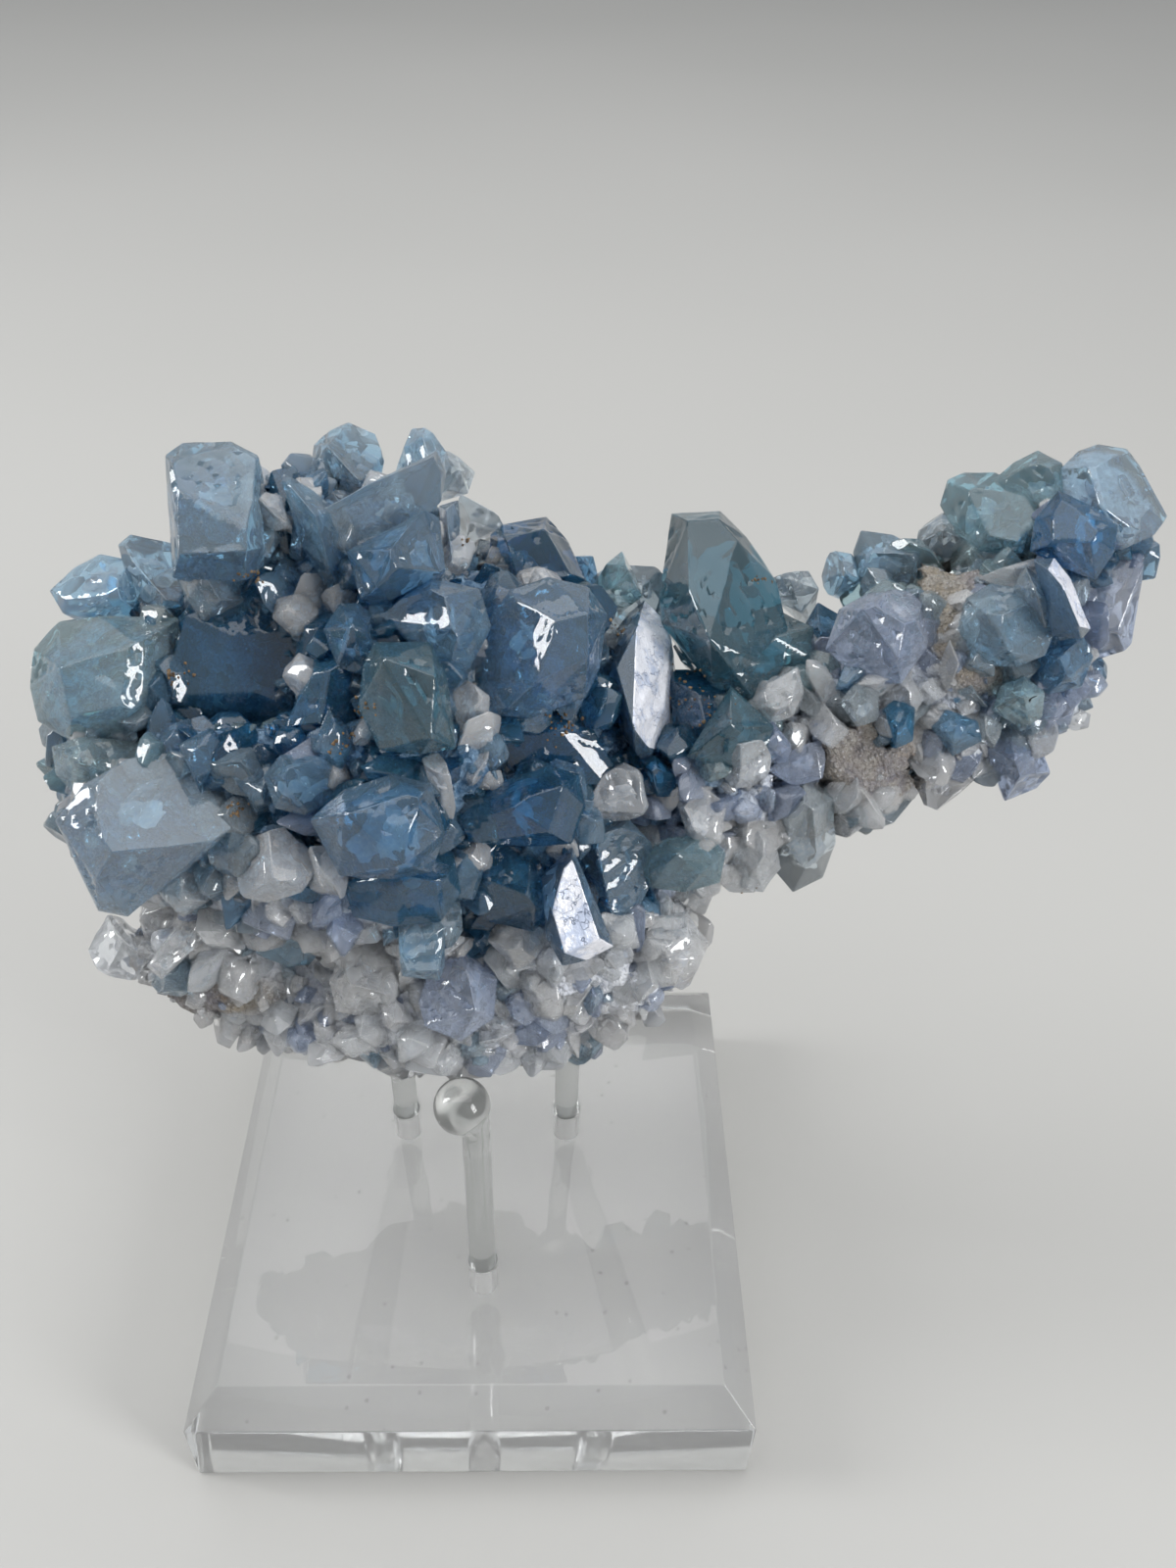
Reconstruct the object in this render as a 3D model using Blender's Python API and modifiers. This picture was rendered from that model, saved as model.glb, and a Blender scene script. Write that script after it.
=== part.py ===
"""Celestite cluster resting on a clear block with three pegs.

The cluster grew as one piece: crystals on a lump of rock, joined in one solid.
It lies loose on three round-ended pegs that stand in blind holes of the block.
Lengths are written in millimetres and scaled to metres when meshes are made.
The origin is the centre of the block's underside; X right, Y back, Z up.
"""

import math
import random

import bmesh
import bpy
from mathutils import Matrix, Vector, noise
from mathutils.bvhtree import BVHTree

MM = 0.001

# Block of the stand
BLOCK_SIDE = 90.0
BLOCK_HEIGHT = 20.0
BLOCK_BEVEL = 5.0

# Pegs of the stand
PEG_DIAMETER = 4.4
PEG_CLEARANCE = 0.3
HOLE_DEPTH = 12.0
PEG_SIDES = 16
FRONT_PEG_AT = (0.7, -18.3)
FRONT_BALL_AT = (-1.0, -20.3, 65.9)
FRONT_BALL_DIAMETER = 8.4
PEG_BEND_BELOW_BALL = 7.5
BACK_PEG_X = 15.0
BACK_PEG_Y = 12.5
BACK_BALL_Z = {"back_left": 64.4, "back_right": 68.6}
REST_GAP = 0.3

# The eye that the crystals were measured from: place, turn and focal length
EYE_AT = Vector((11.8, -136.98, 228.03))
EYE_PITCH = 0.7078
EYE_YAW = 0.0356
EYE_ROLL = -0.0319
EYE_FOCAL_PX = 1350.37
EYE_CENTRE_PX = (600.0, 800.0)

# Rock lumps: centre in pixels, its Y in mm, and half sizes right, up and deep in mm
ROCK_LUMPS = (
    ((385, 770), 11.0, (36.0, 30.0, 22.0)),
    ((205, 770), 11.0, (20.0, 23.0, 16.0)),
    ((435, 1015), -4.5, (30.0, 12.0, 13.0)),
    ((440, 900), 8.0, (29.0, 15.0, 19.0)),
    ((250, 965), 0.0, (18.0, 10.5, 11.0)),
    ((590, 960), -1.5, (16.5, 14.5, 14.0)),
    ((330, 545), 27.0, (18.0, 9.0, 13.0)),
    ((510, 640), 21.0, (15.0, 10.0, 13.0)),
    ((725, 790), 15.0, (17.0, 15.0, 13.0)),
    ((860, 740), 21.0, (16.0, 15.0, 12.0)),
    ((960, 680), 27.0, (17.0, 17.0, 12.0)),
    ((1040, 650), 31.0, (11.0, 18.0, 11.0)),
    ((1090, 570), 35.0, (10.0, 12.0, 10.0)),
)
ROCK_VOXEL = 4.2
ROCK_KEEP = 0.3
ROCK_ROUGHNESS = 1.5
FLAT_ENOUGH_DEG = 3.5

# Each crystal: name, lift of its outline above the rock, depth below the outline,
# outline in pixels, and ridge points in pixels with how far each stands out in mm
CRYSTALS = (
    ("tower", 5, 13, ((168, 465), (186, 452), (236, 450), (264, 465), (270, 560), (250, 592),
                      (176, 590)), ((180, 478, 6), (250, 476, 7), (252, 562, 6), (182, 566, 5))),
    ("tower_foot", 5, 12, ((178, 585), (200, 572), (240, 566), (258, 590), (252, 612),
                           (208, 634), (190, 612)), ((206, 590, 5), (236, 598, 6))),
    ("left_tip", 1, 12, ((50, 603), (76, 579), (102, 565), (138, 572), (146, 600), (142, 626),
                         (104, 633), (64, 626)), ((70, 600, 4), (118, 592, 6), (124, 612, 5))),
    ("left_shoulder", 2, 11, ((120, 556), (132, 545), (166, 542), (178, 560), (192, 592),
                              (190, 626), (150, 628), (132, 600)),
     ((136, 560, 4), (166, 578, 6), (176, 608, 5))),
    ("aqua_round", 2, 16, ((30, 702), (34, 662), (60, 634), (100, 628), (152, 631), (186, 630),
                           (186, 668), (160, 722), (120, 757), (74, 758), (38, 736)),
     ((62, 680, 8), (140, 658, 8), (136, 718, 7), (72, 730, 6))),
    ("aqua_low", 0, 10, ((52, 762), (80, 752), (140, 756), (150, 772), (102, 812), (76, 812),
                         (56, 790)), ((82, 776, 4), (122, 776, 4))),
    ("recess_plate", -6, 6, ((152, 742), (166, 702), (190, 628), (260, 602), (322, 642),
                             (326, 692), (290, 745), (215, 760)), ((240, 650, 2), (262, 722, 2))),
    ("recess_fin", -2, 12, ((290, 742), (326, 660), (348, 616), (366, 640), (368, 700),
                            (362, 742)), ((344, 640, 6), (328, 738, 3))),
    ("rear_grey", -4, 8, ((262, 545), (276, 480), (300, 474), (318, 502), (310, 548), (298, 582),
                          (268, 580)), ((290, 522, 3),)),
    ("white_shard", 2, 8, ((258, 522), (268, 496), (284, 500), (300, 540), (268, 543)),
     ((274, 520, 4),)),
    ("long_plate", 1, 10, ((284, 480), (318, 499), (346, 522), (360, 560), (352, 606),
                           (332, 598), (306, 556)), ((322, 526, 5), (336, 580, 5))),
    ("top_round", 4, 13, ((316, 482), (320, 454), (336, 439), (356, 431), (384, 436), (392, 470),
                          (384, 502), (348, 508)), ((334, 456, 6), (376, 454, 6), (368, 490, 7))),
    ("top_tip", 3, 12, ((412, 456), (420, 437), (434, 430), (450, 437), (460, 458), (454, 492),
                        (420, 496)), ((432, 446, 5), (440, 480, 5))),
    ("bright_plate", 5, 12, ((330, 516), (372, 498), (412, 478), (446, 460), (456, 482),
                             (450, 512), (418, 546), (384, 561), (352, 560)),
     ((352, 520, 6), (432, 478, 8), (402, 538, 6))),
    ("blue_face", 5, 13, ((354, 562), (400, 548), (434, 520), (452, 520), (456, 580), (430, 596),
                          (398, 613), (368, 612)), ((402, 562, 7), (440, 542, 8), (386, 600, 5))),
    ("lilac_blade", 6, 14, ((448, 516), (468, 510), (470, 532), (466, 576), (450, 582)),
     ((455, 520, 7), (461, 570, 6))),
    ("pale_stone", 1, 9, ((468, 508), (480, 481), (502, 478), (522, 492), (532, 528), (506, 540),
                          (480, 530)), ((500, 495, 4), (512, 520, 4))),
    ("pale_stone_rear", -1, 9, ((452, 460), (468, 460), (485, 482), (478, 504), (456, 500)),
     ((468, 480, 3),)),
    ("navy_prism", 5, 14, ((500, 546), (512, 535), (558, 527), (580, 552), (598, 592),
                           (560, 600), (520, 590)),
     ((514, 548, 5), (554, 541, 7), (578, 584, 5), (530, 584, 5))),
    ("navy_rear", 0, 10, ((560, 528), (584, 535), (604, 562), (612, 592), (594, 604),
                          (572, 588)), ((586, 562, 3),)),
    ("smoky_pebble", 2, 8, ((470, 555), (482, 548), (500, 552), (508, 570), (492, 584),
                            (474, 576)), ((488, 564, 3),)),
    ("valley_pale", 6, 12, ((618, 576), (636, 561), (668, 561), (673, 580), (664, 602),
                            (626, 600)), ((646, 576, 4),)),
    ("valley_olive", -1, 9, ((604, 588), (625, 575), (650, 590), (675, 578), (682, 602),
                             (672, 650), (640, 652), (616, 626)), ((650, 606, 3),)),
    ("green_prism", 6, 16, ((684, 545), (685, 524), (735, 521), (762, 548), (792, 592),
                            (804, 640), (798, 682), (768, 712), (728, 702), (675, 636),
                            (672, 610)),
     ((702, 532, 7), (703, 602, 9), (734, 530, 6), (752, 552, 6), (724, 652, 9))),
    ("green_foot", 5, 13, ((736, 660), (752, 636), (790, 620), (830, 640), (826, 668),
                           (798, 692), (768, 712), (744, 690)), ((792, 650, 5), (762, 680, 5))),
    ("bright_lozenge", 8, 15, ((615, 692), (622, 652), (641, 626), (657, 612), (676, 630),
                               (685, 652), (678, 722), (662, 764), (648, 768), (632, 742)),
     ((650, 638, 7), (629, 682, 8), (646, 744, 7))),
    ("shade_right", -1, 9, ((680, 672), (702, 664), (736, 690), (746, 722), (734, 750),
                            (712, 764), (688, 750)), ((710, 700, 3), (720, 738, 3))),
    ("clear_chip", 3, 8, ((682, 652), (702, 645), (732, 652), (736, 672), (716, 681),
                          (692, 672)), ((706, 660, 3),)),
    ("aqua_oval", 5, 12, ((752, 706), (774, 680), (796, 665), (815, 680), (821, 706),
                          (810, 730), (786, 738), (764, 726)), ((782, 696, 5), (800, 710, 5))),
    ("fan_right", 2, 11, ((700, 772), (720, 740), (746, 700), (766, 726), (790, 741),
                          (780, 771), (742, 786)), ((746, 740, 5),)),
    ("centre_plate", 5, 14, ((478, 702), (490, 642), (520, 602), (560, 588), (600, 598),
                             (620, 626), (612, 682), (598, 712), (540, 734), (490, 728)),
     ((540, 640, 7), (600, 626, 7), (600, 672, 7), (508, 712, 5))),
    ("teal_plate", 4, 13, ((365, 722), (370, 680), (382, 655), (440, 655), (456, 690),
                           (466, 764), (428, 770), (388, 766)),
     ((392, 672, 6), (444, 690, 6), (440, 754, 5))),
    ("mid_plate", 3, 12, ((388, 624), (440, 590), (490, 600), (502, 640), (480, 682),
                          (456, 692), (418, 656)), ((440, 612, 6), (468, 650, 5))),
    ("crest", 3, 11, ((330, 642), (346, 615), (366, 615), (396, 640), (402, 662), (374, 690),
                      (344, 682)), ((360, 640, 5),)),
    ("ring", 1, 8, ((456, 702), (476, 690), (500, 710), (498, 741), (470, 748)),
     ((478, 716, 3),)),
    ("cave_floor", -4, 7, ((496, 750), (560, 722), (600, 716), (640, 742), (650, 772),
                           (618, 802), (560, 790), (510, 798)), ((570, 746, 2),)),
    ("navy_slab", 3, 13, ((466, 834), (500, 802), (560, 781), (592, 790), (598, 822),
                          (584, 862), (540, 864), (480, 860)),
     ((520, 820, 5), (574, 802, 5), (560, 848, 5))),
    ("white_fin", 5, 12, ((430, 772), (446, 760), (457, 778), (470, 840), (454, 838)),
     ((450, 790, 6), (461, 828, 5))),
    ("great_slab", 4, 15, ((56, 838), (86, 800), (130, 775), (166, 768), (202, 786),
                           (242, 846), (200, 880), (158, 902), (130, 936), (100, 930),
                           (84, 894)), ((168, 792, 10), (190, 802, 10), (234, 844, 7),
                                        (118, 862, 9), (98, 898, 6))),
    ("striped_plate", 2, 10, ((205, 778), (230, 765), (256, 762), (272, 792), (262, 816),
                              (232, 812)), ((242, 782, 4),)),
    ("mid_round", 3, 12, ((268, 792), (286, 770), (330, 772), (352, 790), (340, 816),
                          (310, 833), (280, 825)), ((300, 790, 6), (326, 804, 5))),
    ("rust_chip", 0, 8, ((215, 832), (236, 812), (262, 815), (276, 836), (254, 851),
                         (228, 850)), ((246, 830, 3),)),
    ("white_break", 2, 11, ((222, 886), (236, 860), (286, 845), (312, 866), (324, 886),
                            (308, 911), (274, 921), (240, 914)),
     ((264, 870, 5), (292, 890, 5))),
    ("purple_slab", 5, 14, ((316, 836), (350, 806), (400, 790), (441, 800), (454, 850),
                            (440, 891), (398, 898), (346, 894)),
     ((352, 830, 6), (422, 818, 7), (412, 882, 6))),
    ("deep_left", 1, 12, ((350, 902), (400, 886), (440, 856), (463, 871), (471, 911),
                          (450, 941), (400, 946), (360, 936)), ((410, 901, 4), (442, 882, 5))),
    ("small_prism", 6, 13, ((405, 952), (413, 942), (440, 935), (454, 946), (454, 986),
                            (448, 1001), (410, 996)),
     ((415, 951, 5), (445, 946, 6), (447, 988, 5), (418, 988, 4))),
    ("pit_face", -3, 8, ((456, 946), (482, 931), (512, 941), (526, 961), (514, 986),
                         (468, 982)), ((490, 955, 2),)),
    ("deep_right", 1, 12, ((474, 906), (500, 861), (542, 865), (562, 896), (566, 931),
                           (544, 951), (500, 941)), ((520, 891, 5), (546, 924, 5))),
    ("bright_face", 8, 15, ((552, 896), (570, 876), (584, 864), (598, 900), (611, 926),
                            (626, 966), (600, 980), (574, 986), (558, 958)),
     ((576, 886, 4), (584, 878, 4), (594, 906, 4), (612, 958, 4), (576, 972, 4), (564, 930, 4))),
    ("lilac_block", 4, 13, ((590, 871), (600, 841), (641, 835), (666, 861), (668, 901),
                            (650, 936), (624, 936)), ((624, 861, 6), (646, 902, 6))),
    ("clear_break", 4, 11, ((602, 816), (616, 790), (641, 775), (656, 791), (663, 821),
                            (648, 842), (614, 843)), ((636, 796, 6), (641, 824, 5))),
    ("dark_blade", 2, 10, ((652, 776), (668, 770), (689, 791), (693, 816), (670, 813)),
     ((672, 792, 4),)),
    ("pale_knot", 2, 10, ((690, 822), (716, 801), (741, 821), (736, 861), (704, 866)),
     ((716, 831, 5),)),
    ("clear_knot", 3, 10, ((728, 788), (746, 755), (776, 752), (791, 771), (785, 801),
                           (758, 811)), ((760, 776, 5),)),
    ("lilac_knot", 3, 10, ((784, 788), (811, 765), (841, 755), (853, 771), (845, 796),
                           (812, 806)), ((820, 779, 5),)),
    ("teal_stripes", 3, 11, ((650, 881), (681, 856), (721, 850), (741, 871), (735, 901),
                             (698, 911), (664, 906)), ((690, 871, 5), (716, 890, 4))),
    ("pale_lump", 2, 10, ((735, 852), (761, 831), (791, 851), (796, 886), (779, 911),
                          (748, 904)), ((766, 866, 5),)),
    ("dark_lump", 3, 12, ((788, 836), (820, 801), (850, 815), (853, 861), (840, 896),
                          (809, 911), (788, 886)), ((820, 831, 6), (830, 871, 5))),
    ("rim_lilac", 3, 12, ((425, 1021), (440, 986), (482, 968), (508, 992), (504, 1040),
                          (470, 1063), (434, 1050)), ((466, 1000, 5), (486, 1030, 5))),
    ("rim_white", 3, 11, ((335, 1001), (350, 970), (386, 961), (409, 986), (404, 1021),
                          (378, 1041), (344, 1035)), ((366, 991, 5), (390, 1010, 5))),
    ("rim_shards", 3, 10, ((150, 986), (171, 950), (201, 930), (223, 926), (214, 951),
                           (189, 976), (165, 1000)), ((186, 956, 5),)),
    ("rim_left", 1, 10, ((82, 936), (106, 925), (126, 951), (151, 981), (129, 1002),
                         (99, 991), (85, 966)), ((111, 961, 5),)),
    ("rim_right", 3, 11, ((656, 958), (666, 935), (701, 930), (723, 961), (720, 992),
                          (698, 1011), (674, 1000)), ((691, 961, 5), (704, 986, 4))),
    ("purple_fan", 4, 14, ((842, 662), (856, 621), (886, 605), (931, 598), (956, 621),
                           (946, 661), (920, 697), (898, 699), (868, 686)),
     ((881, 622, 7), (930, 606, 7), (916, 672, 6))),
    ("arm_pale", 3, 13, ((959, 515), (966, 489), (984, 482), (1016, 482), (1052, 501),
                         (1063, 531), (1040, 557), (998, 560), (972, 540)),
     ((992, 501, 5), (1031, 522, 6))),
    ("arm_top", 2, 11, ((1010, 492), (1034, 472), (1059, 459), (1084, 472), (1086, 502),
                        (1058, 532), (1030, 520)), ((1058, 482, 5), (1060, 506, 4))),
    ("arm_tip", 2, 13, ((1078, 505), (1082, 478), (1100, 460), (1120, 453), (1150, 458),
                        (1176, 491), (1198, 522), (1178, 546), (1146, 560), (1116, 553)),
     ((1110, 476, 6), (1149, 480, 7), (1164, 520, 6), (1124, 520, 6))),
    ("arm_navy", 5, 13, ((1050, 562), (1056, 530), (1080, 500), (1111, 515), (1141, 536),
                         (1138, 562), (1118, 592), (1086, 580)),
     ((1086, 522, 5), (1112, 546, 5), (1072, 556, 4))),
    ("bright_prism", 9, 15, ((1054, 570), (1076, 569), (1092, 590), (1113, 641), (1104, 652),
                             (1074, 650)), ((1070, 582, 5), (1085, 600, 6), (1101, 638, 5))),
    ("tip_body", 2, 13, ((1100, 602), (1111, 570), (1141, 560), (1168, 576), (1156, 624),
                         (1155, 656), (1130, 682), (1108, 666)), ((1131, 601, 5), (1140, 641, 4))),
    ("arm_mid", 4, 13, ((977, 642), (986, 610), (1011, 595), (1046, 600), (1066, 620),
                        (1078, 642), (1068, 668), (1038, 681), (998, 678)),
     ((1006, 626, 6), (1051, 631, 6), (1031, 661, 5))),
    ("arm_curl", 7, 13, ((1035, 601), (1046, 577), (1064, 590), (1076, 620), (1068, 642),
                         (1048, 626)), ((1056, 601, 5),)),
    ("arm_blue", 3, 12, ((1044, 682), (1066, 655), (1106, 650), (1116, 671), (1104, 702),
                         (1070, 709)), ((1081, 671, 5), (1090, 690, 4))),
    ("arm_clear", 3, 11, ((1012, 726), (1021, 700), (1046, 690), (1066, 706), (1064, 732),
                          (1042, 746)), ((1041, 712, 5),)),
    ("arm_lilac", 1, 12, ((1003, 762), (1031, 750), (1061, 760), (1073, 791), (1058, 828),
                          (1028, 826)), ((1036, 776, 5), (1046, 804, 4))),
    ("arm_fang", 2, 11, ((934, 806), (961, 790), (986, 789), (1004, 806), (984, 826),
                         (953, 842)), ((965, 806, 5),)),
    ("ridge_pale", 2, 10, ((897, 548), (905, 527), (941, 519), (950, 536), (934, 561),
                           (904, 562)), ((921, 541, 4),)),
    ("ridge_glassy", 2, 10, ((934, 556), (939, 530), (962, 519), (986, 530), (990, 552),
                             (962, 566)), ((961, 541, 4),)),
    ("ridge_round", 2, 10, ((870, 564), (878, 541), (911, 545), (939, 561), (934, 591),
                            (898, 601), (874, 592)), ((891, 566, 4), (916, 576, 4))),
    ("ridge_small", 1, 9, ((822, 578), (840, 559), (869, 565), (876, 591), (848, 606),
                           (826, 600)), ((848, 580, 3),)),
    ("ridge_grey", 1, 9, ((776, 584), (790, 569), (821, 575), (836, 601), (818, 626),
                          (790, 612)), ((806, 591, 3),)),
    ("arm_shade", 1, 9, ((818, 642), (834, 614), (859, 620), (850, 657), (836, 666)),
     ((838, 640, 4),)),
    ("arm_dark_prism", 3, 10, ((902, 722), (914, 712), (934, 722), (932, 756), (914, 764)),
     ((918, 730, 4),)),
    ("arm_chip", 2, 9, ((950, 742), (966, 724), (998, 736), (1002, 756), (972, 772)),
     ((972, 744, 4),)),
    ("neck_prism", 3, 10, ((856, 716), (872, 698), (900, 704), (902, 734), (874, 742)),
     ((880, 716, 4),)),
)

# A crystal narrows to this share of its outline where it roots in the rock
ROOT_SHRINK = 0.75

# Small crystals between and around the named ones
SMALL_SEED = 41
SMALL_COUNT = 86
SMALL_SPACING = 7.4
SMALL_WIDTH = (5.4, 8.6)
SMALL_LENGTH = (6.5, 9.5)
SMALL_LEAN = 0.34
SMALL_FACING = -0.35
# Share of a small crystal's length below the rock, and round the rim where they sit deeper
SMALL_ROOT = 0.45
RIM_ROOT = 0.66
RIM_FACING = 0.35

CLUSTER_COLOUR = (0.42, 0.52, 0.64, 1.0)
CLEAR_COLOUR = (0.93, 0.95, 0.95, 1.0)


def new_collection(name):
    collection = bpy.data.collections.new(name)
    bpy.context.scene.collection.children.link(collection)
    return collection


def new_material(name, colour, roughness, metallic):
    material = bpy.data.materials.new(name)
    material.use_nodes = True
    shader = material.node_tree.nodes["Principled BSDF"]
    shader.inputs["Base Color"].default_value = colour
    shader.inputs["Roughness"].default_value = roughness
    shader.inputs["Metallic"].default_value = metallic
    material.diffuse_color = colour
    return material


def eye_axes():
    """Unit vectors of the eye: forward, right and down."""
    forward = Vector((
        math.sin(EYE_YAW) * math.cos(EYE_PITCH),
        math.cos(EYE_YAW) * math.cos(EYE_PITCH),
        -math.sin(EYE_PITCH),
    ))
    level_right = Vector((math.cos(EYE_YAW), -math.sin(EYE_YAW), 0.0))
    level_down = forward.cross(level_right)
    right = level_right * math.cos(EYE_ROLL) + level_down * math.sin(EYE_ROLL)
    down = -level_right * math.sin(EYE_ROLL) + level_down * math.cos(EYE_ROLL)
    return forward, right, down


FORWARD, RIGHT, DOWN = eye_axes()


def sight(pixel_x, pixel_y):
    """Direction from the eye through a pixel."""
    across = pixel_x - EYE_CENTRE_PX[0]
    below = pixel_y - EYE_CENTRE_PX[1]
    return (FORWARD * EYE_FOCAL_PX + RIGHT * across + DOWN * below).normalized()


def pixel_of(point):
    """Pixel at which the eye sees a point."""
    offset = point - EYE_AT
    depth = offset.dot(FORWARD)
    across = EYE_CENTRE_PX[0] + EYE_FOCAL_PX * offset.dot(RIGHT) / depth
    below = EYE_CENTRE_PX[1] + EYE_FOCAL_PX * offset.dot(DOWN) / depth
    return across, below


def point_at_depth(pixel_x, pixel_y, y):
    """Point on a pixel's line of sight at the given Y."""
    direction = sight(pixel_x, pixel_y)
    return EYE_AT + direction * ((y - EYE_AT.y) / direction.y)


def point_on_plane(pixel_x, pixel_y, origin, normal):
    """Point where a pixel's line of sight meets a plane."""
    direction = sight(pixel_x, pixel_y)
    return EYE_AT + direction * ((origin - EYE_AT).dot(normal) / direction.dot(normal))


def object_from_bmesh(name, bm, collection, scale=MM):
    mesh = bpy.data.meshes.new(name)
    bm.transform(Matrix.Scale(scale, 4))
    bmesh.ops.recalc_face_normals(bm, faces=bm.faces)
    bm.to_mesh(mesh)
    bm.free()
    made = bpy.data.objects.new(name, mesh)
    collection.objects.link(made)
    return made


def apply_modifiers(made):
    """Replace an object's mesh by the result of its modifiers."""
    graph = bpy.context.evaluated_depsgraph_get()
    mesh = bpy.data.meshes.new_from_object(made.evaluated_get(graph))
    made.modifiers.clear()
    made.data = mesh
    return made


def make_rock(collection):
    """One lump of rock: joined egg shapes, remeshed, roughened and cut to broad facets."""
    bm = bmesh.new()
    for (pixel_x, pixel_y), y, (half_right, half_up, half_deep) in ROCK_LUMPS:
        centre = point_at_depth(pixel_x, pixel_y, y)
        frame = Matrix((RIGHT * half_right, -DOWN * half_up, FORWARD * half_deep)).transposed()
        place = Matrix.Translation(centre) @ frame.to_4x4()
        bmesh.ops.create_icosphere(bm, subdivisions=4, radius=1.0, matrix=place)
    rock = object_from_bmesh("rock_blank", bm, collection)
    remesh = rock.modifiers.new("join", "REMESH")
    remesh.mode = "VOXEL"
    remesh.voxel_size = ROCK_VOXEL * MM
    smooth = rock.modifiers.new("soften", "SMOOTH")
    smooth.factor = 0.5
    smooth.iterations = 3
    apply_modifiers(rock)
    for vertex in rock.data.vertices:
        place = vertex.co / MM
        push = noise.noise(place * 0.07) * 2.0 + noise.noise(place * 0.19)
        vertex.co += vertex.normal * push * ROCK_ROUGHNESS * MM
    decimate = rock.modifiers.new("facets", "DECIMATE")
    decimate.ratio = ROCK_KEEP
    return apply_modifiers(rock)


def hull_object(name, points, collection):
    bm = bmesh.new()
    for point in points:
        bm.verts.new(point)
    result = bmesh.ops.convex_hull(bm, input=bm.verts)
    inside = [v for v in result["geom_interior"] if isinstance(v, bmesh.types.BMVert)]
    bmesh.ops.delete(bm, geom=inside, context="VERTS")
    bmesh.ops.dissolve_limit(
        bm, angle_limit=math.radians(2.0), verts=bm.verts, edges=bm.edges
    )
    bmesh.ops.triangulate(bm, faces=bm.faces)
    return object_from_bmesh(name, bm, collection)


def traced_points(rock_tree, lift, depth, outline, ridge):
    """Corner points of a crystal whose outline and ridges were measured as pixels."""
    middle_x = sum(pixel[0] for pixel in outline) / len(outline)
    middle_y = sum(pixel[1] for pixel in outline) / len(outline)
    direction = sight(middle_x, middle_y)
    spot, normal, _, _ = rock_tree.ray_cast(EYE_AT * MM, direction)
    if spot is None:
        near_line = min(
            (rock_tree.find_nearest((EYE_AT + direction * reach) * MM) for reach in range(200, 330, 3)),
            key=lambda found: found[3],
        )
        spot, normal = near_line[0], near_line[1]
    spot = spot / MM
    facing = (normal * 0.4 - direction * 0.6).normalized()
    base = spot + facing * lift
    points = []
    for pixel_x, pixel_y in outline:
        points.append(point_on_plane(pixel_x, pixel_y, base, facing))
    middle = sum(points, Vector()) / len(points)
    for corner in points[::2]:
        points.append(middle + (corner - middle) * ROOT_SHRINK - facing * depth)
    for pixel_x, pixel_y, rise in ridge:
        points.append(point_on_plane(pixel_x, pixel_y, base + facing * rise, facing))
    return points


def inside_outline(pixel_x, pixel_y, outline):
    """True if a pixel lies inside a closed outline."""
    inside = False
    for index, (x1, y1) in enumerate(outline):
        x2, y2 = outline[index - 1]
        if (y1 > pixel_y) != (y2 > pixel_y):
            crossing = x1 + (pixel_y - y1) * (x2 - x1) / (y2 - y1)
            if pixel_x < crossing:
                inside = not inside
    return inside


def small_crystal_points(rng, spot, axis):
    """Corner points of a short four-sided crystal with a two-faced tip."""
    side = axis.orthogonal().normalized()
    side.rotate(Matrix.Rotation(rng.uniform(0.0, math.tau), 3, axis))
    across = axis.cross(side)
    width = rng.uniform(*SMALL_WIDTH) * 0.5
    breadth = width * rng.uniform(0.6, 1.0)
    length = rng.uniform(*SMALL_LENGTH)
    shoulder = length * rng.uniform(0.45, 0.7)
    at_rim = axis.dot((EYE_AT - spot).normalized()) < RIM_FACING
    foot = spot - axis * length * (RIM_ROOT if at_rim else SMALL_ROOT)
    points = []
    for level in (0.0, shoulder):
        for step_side, step_across in ((1, 0.4), (-0.3, 1), (-1, -0.4), (0.3, -1)):
            offset = side * width * step_side + across * breadth * step_across
            points.append(foot + axis * level + offset)
    points.append(foot + axis * length + side * width * 0.45)
    points.append(foot + axis * length * rng.uniform(0.9, 1.0) - side * width * 0.4)
    return points


def small_crystal_spots(rock, rng):
    """Places for small crystals on the crystal side, clear of the named ones."""
    outlines = [entry[3] for entry in CRYSTALS]
    faces = list(rock.data.polygons)
    areas = [face.area for face in faces]
    spots = []
    for _ in range(SMALL_COUNT * 60):
        face = rng.choices(faces, areas)[0]
        corners = [rock.data.vertices[index].co / MM for index in face.vertices]
        first, second = rng.random(), rng.random()
        if first + second > 1.0:
            first, second = 1.0 - first, 1.0 - second
        spot = corners[0] + (corners[1] - corners[0]) * first + (corners[2] - corners[0]) * second
        normal = Vector(face.normal)
        toward_eye = (EYE_AT - spot).normalized()
        if normal.dot(toward_eye) < SMALL_FACING:
            continue
        if any((spot - other).length < SMALL_SPACING for other, _ in spots):
            continue
        if normal.dot(toward_eye) > 0.1:
            pixel = pixel_of(spot)
            if any(inside_outline(pixel[0], pixel[1], outline) for outline in outlines):
                continue
        spots.append((spot, normal))
        if len(spots) == SMALL_COUNT:
            break
    return spots


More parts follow.
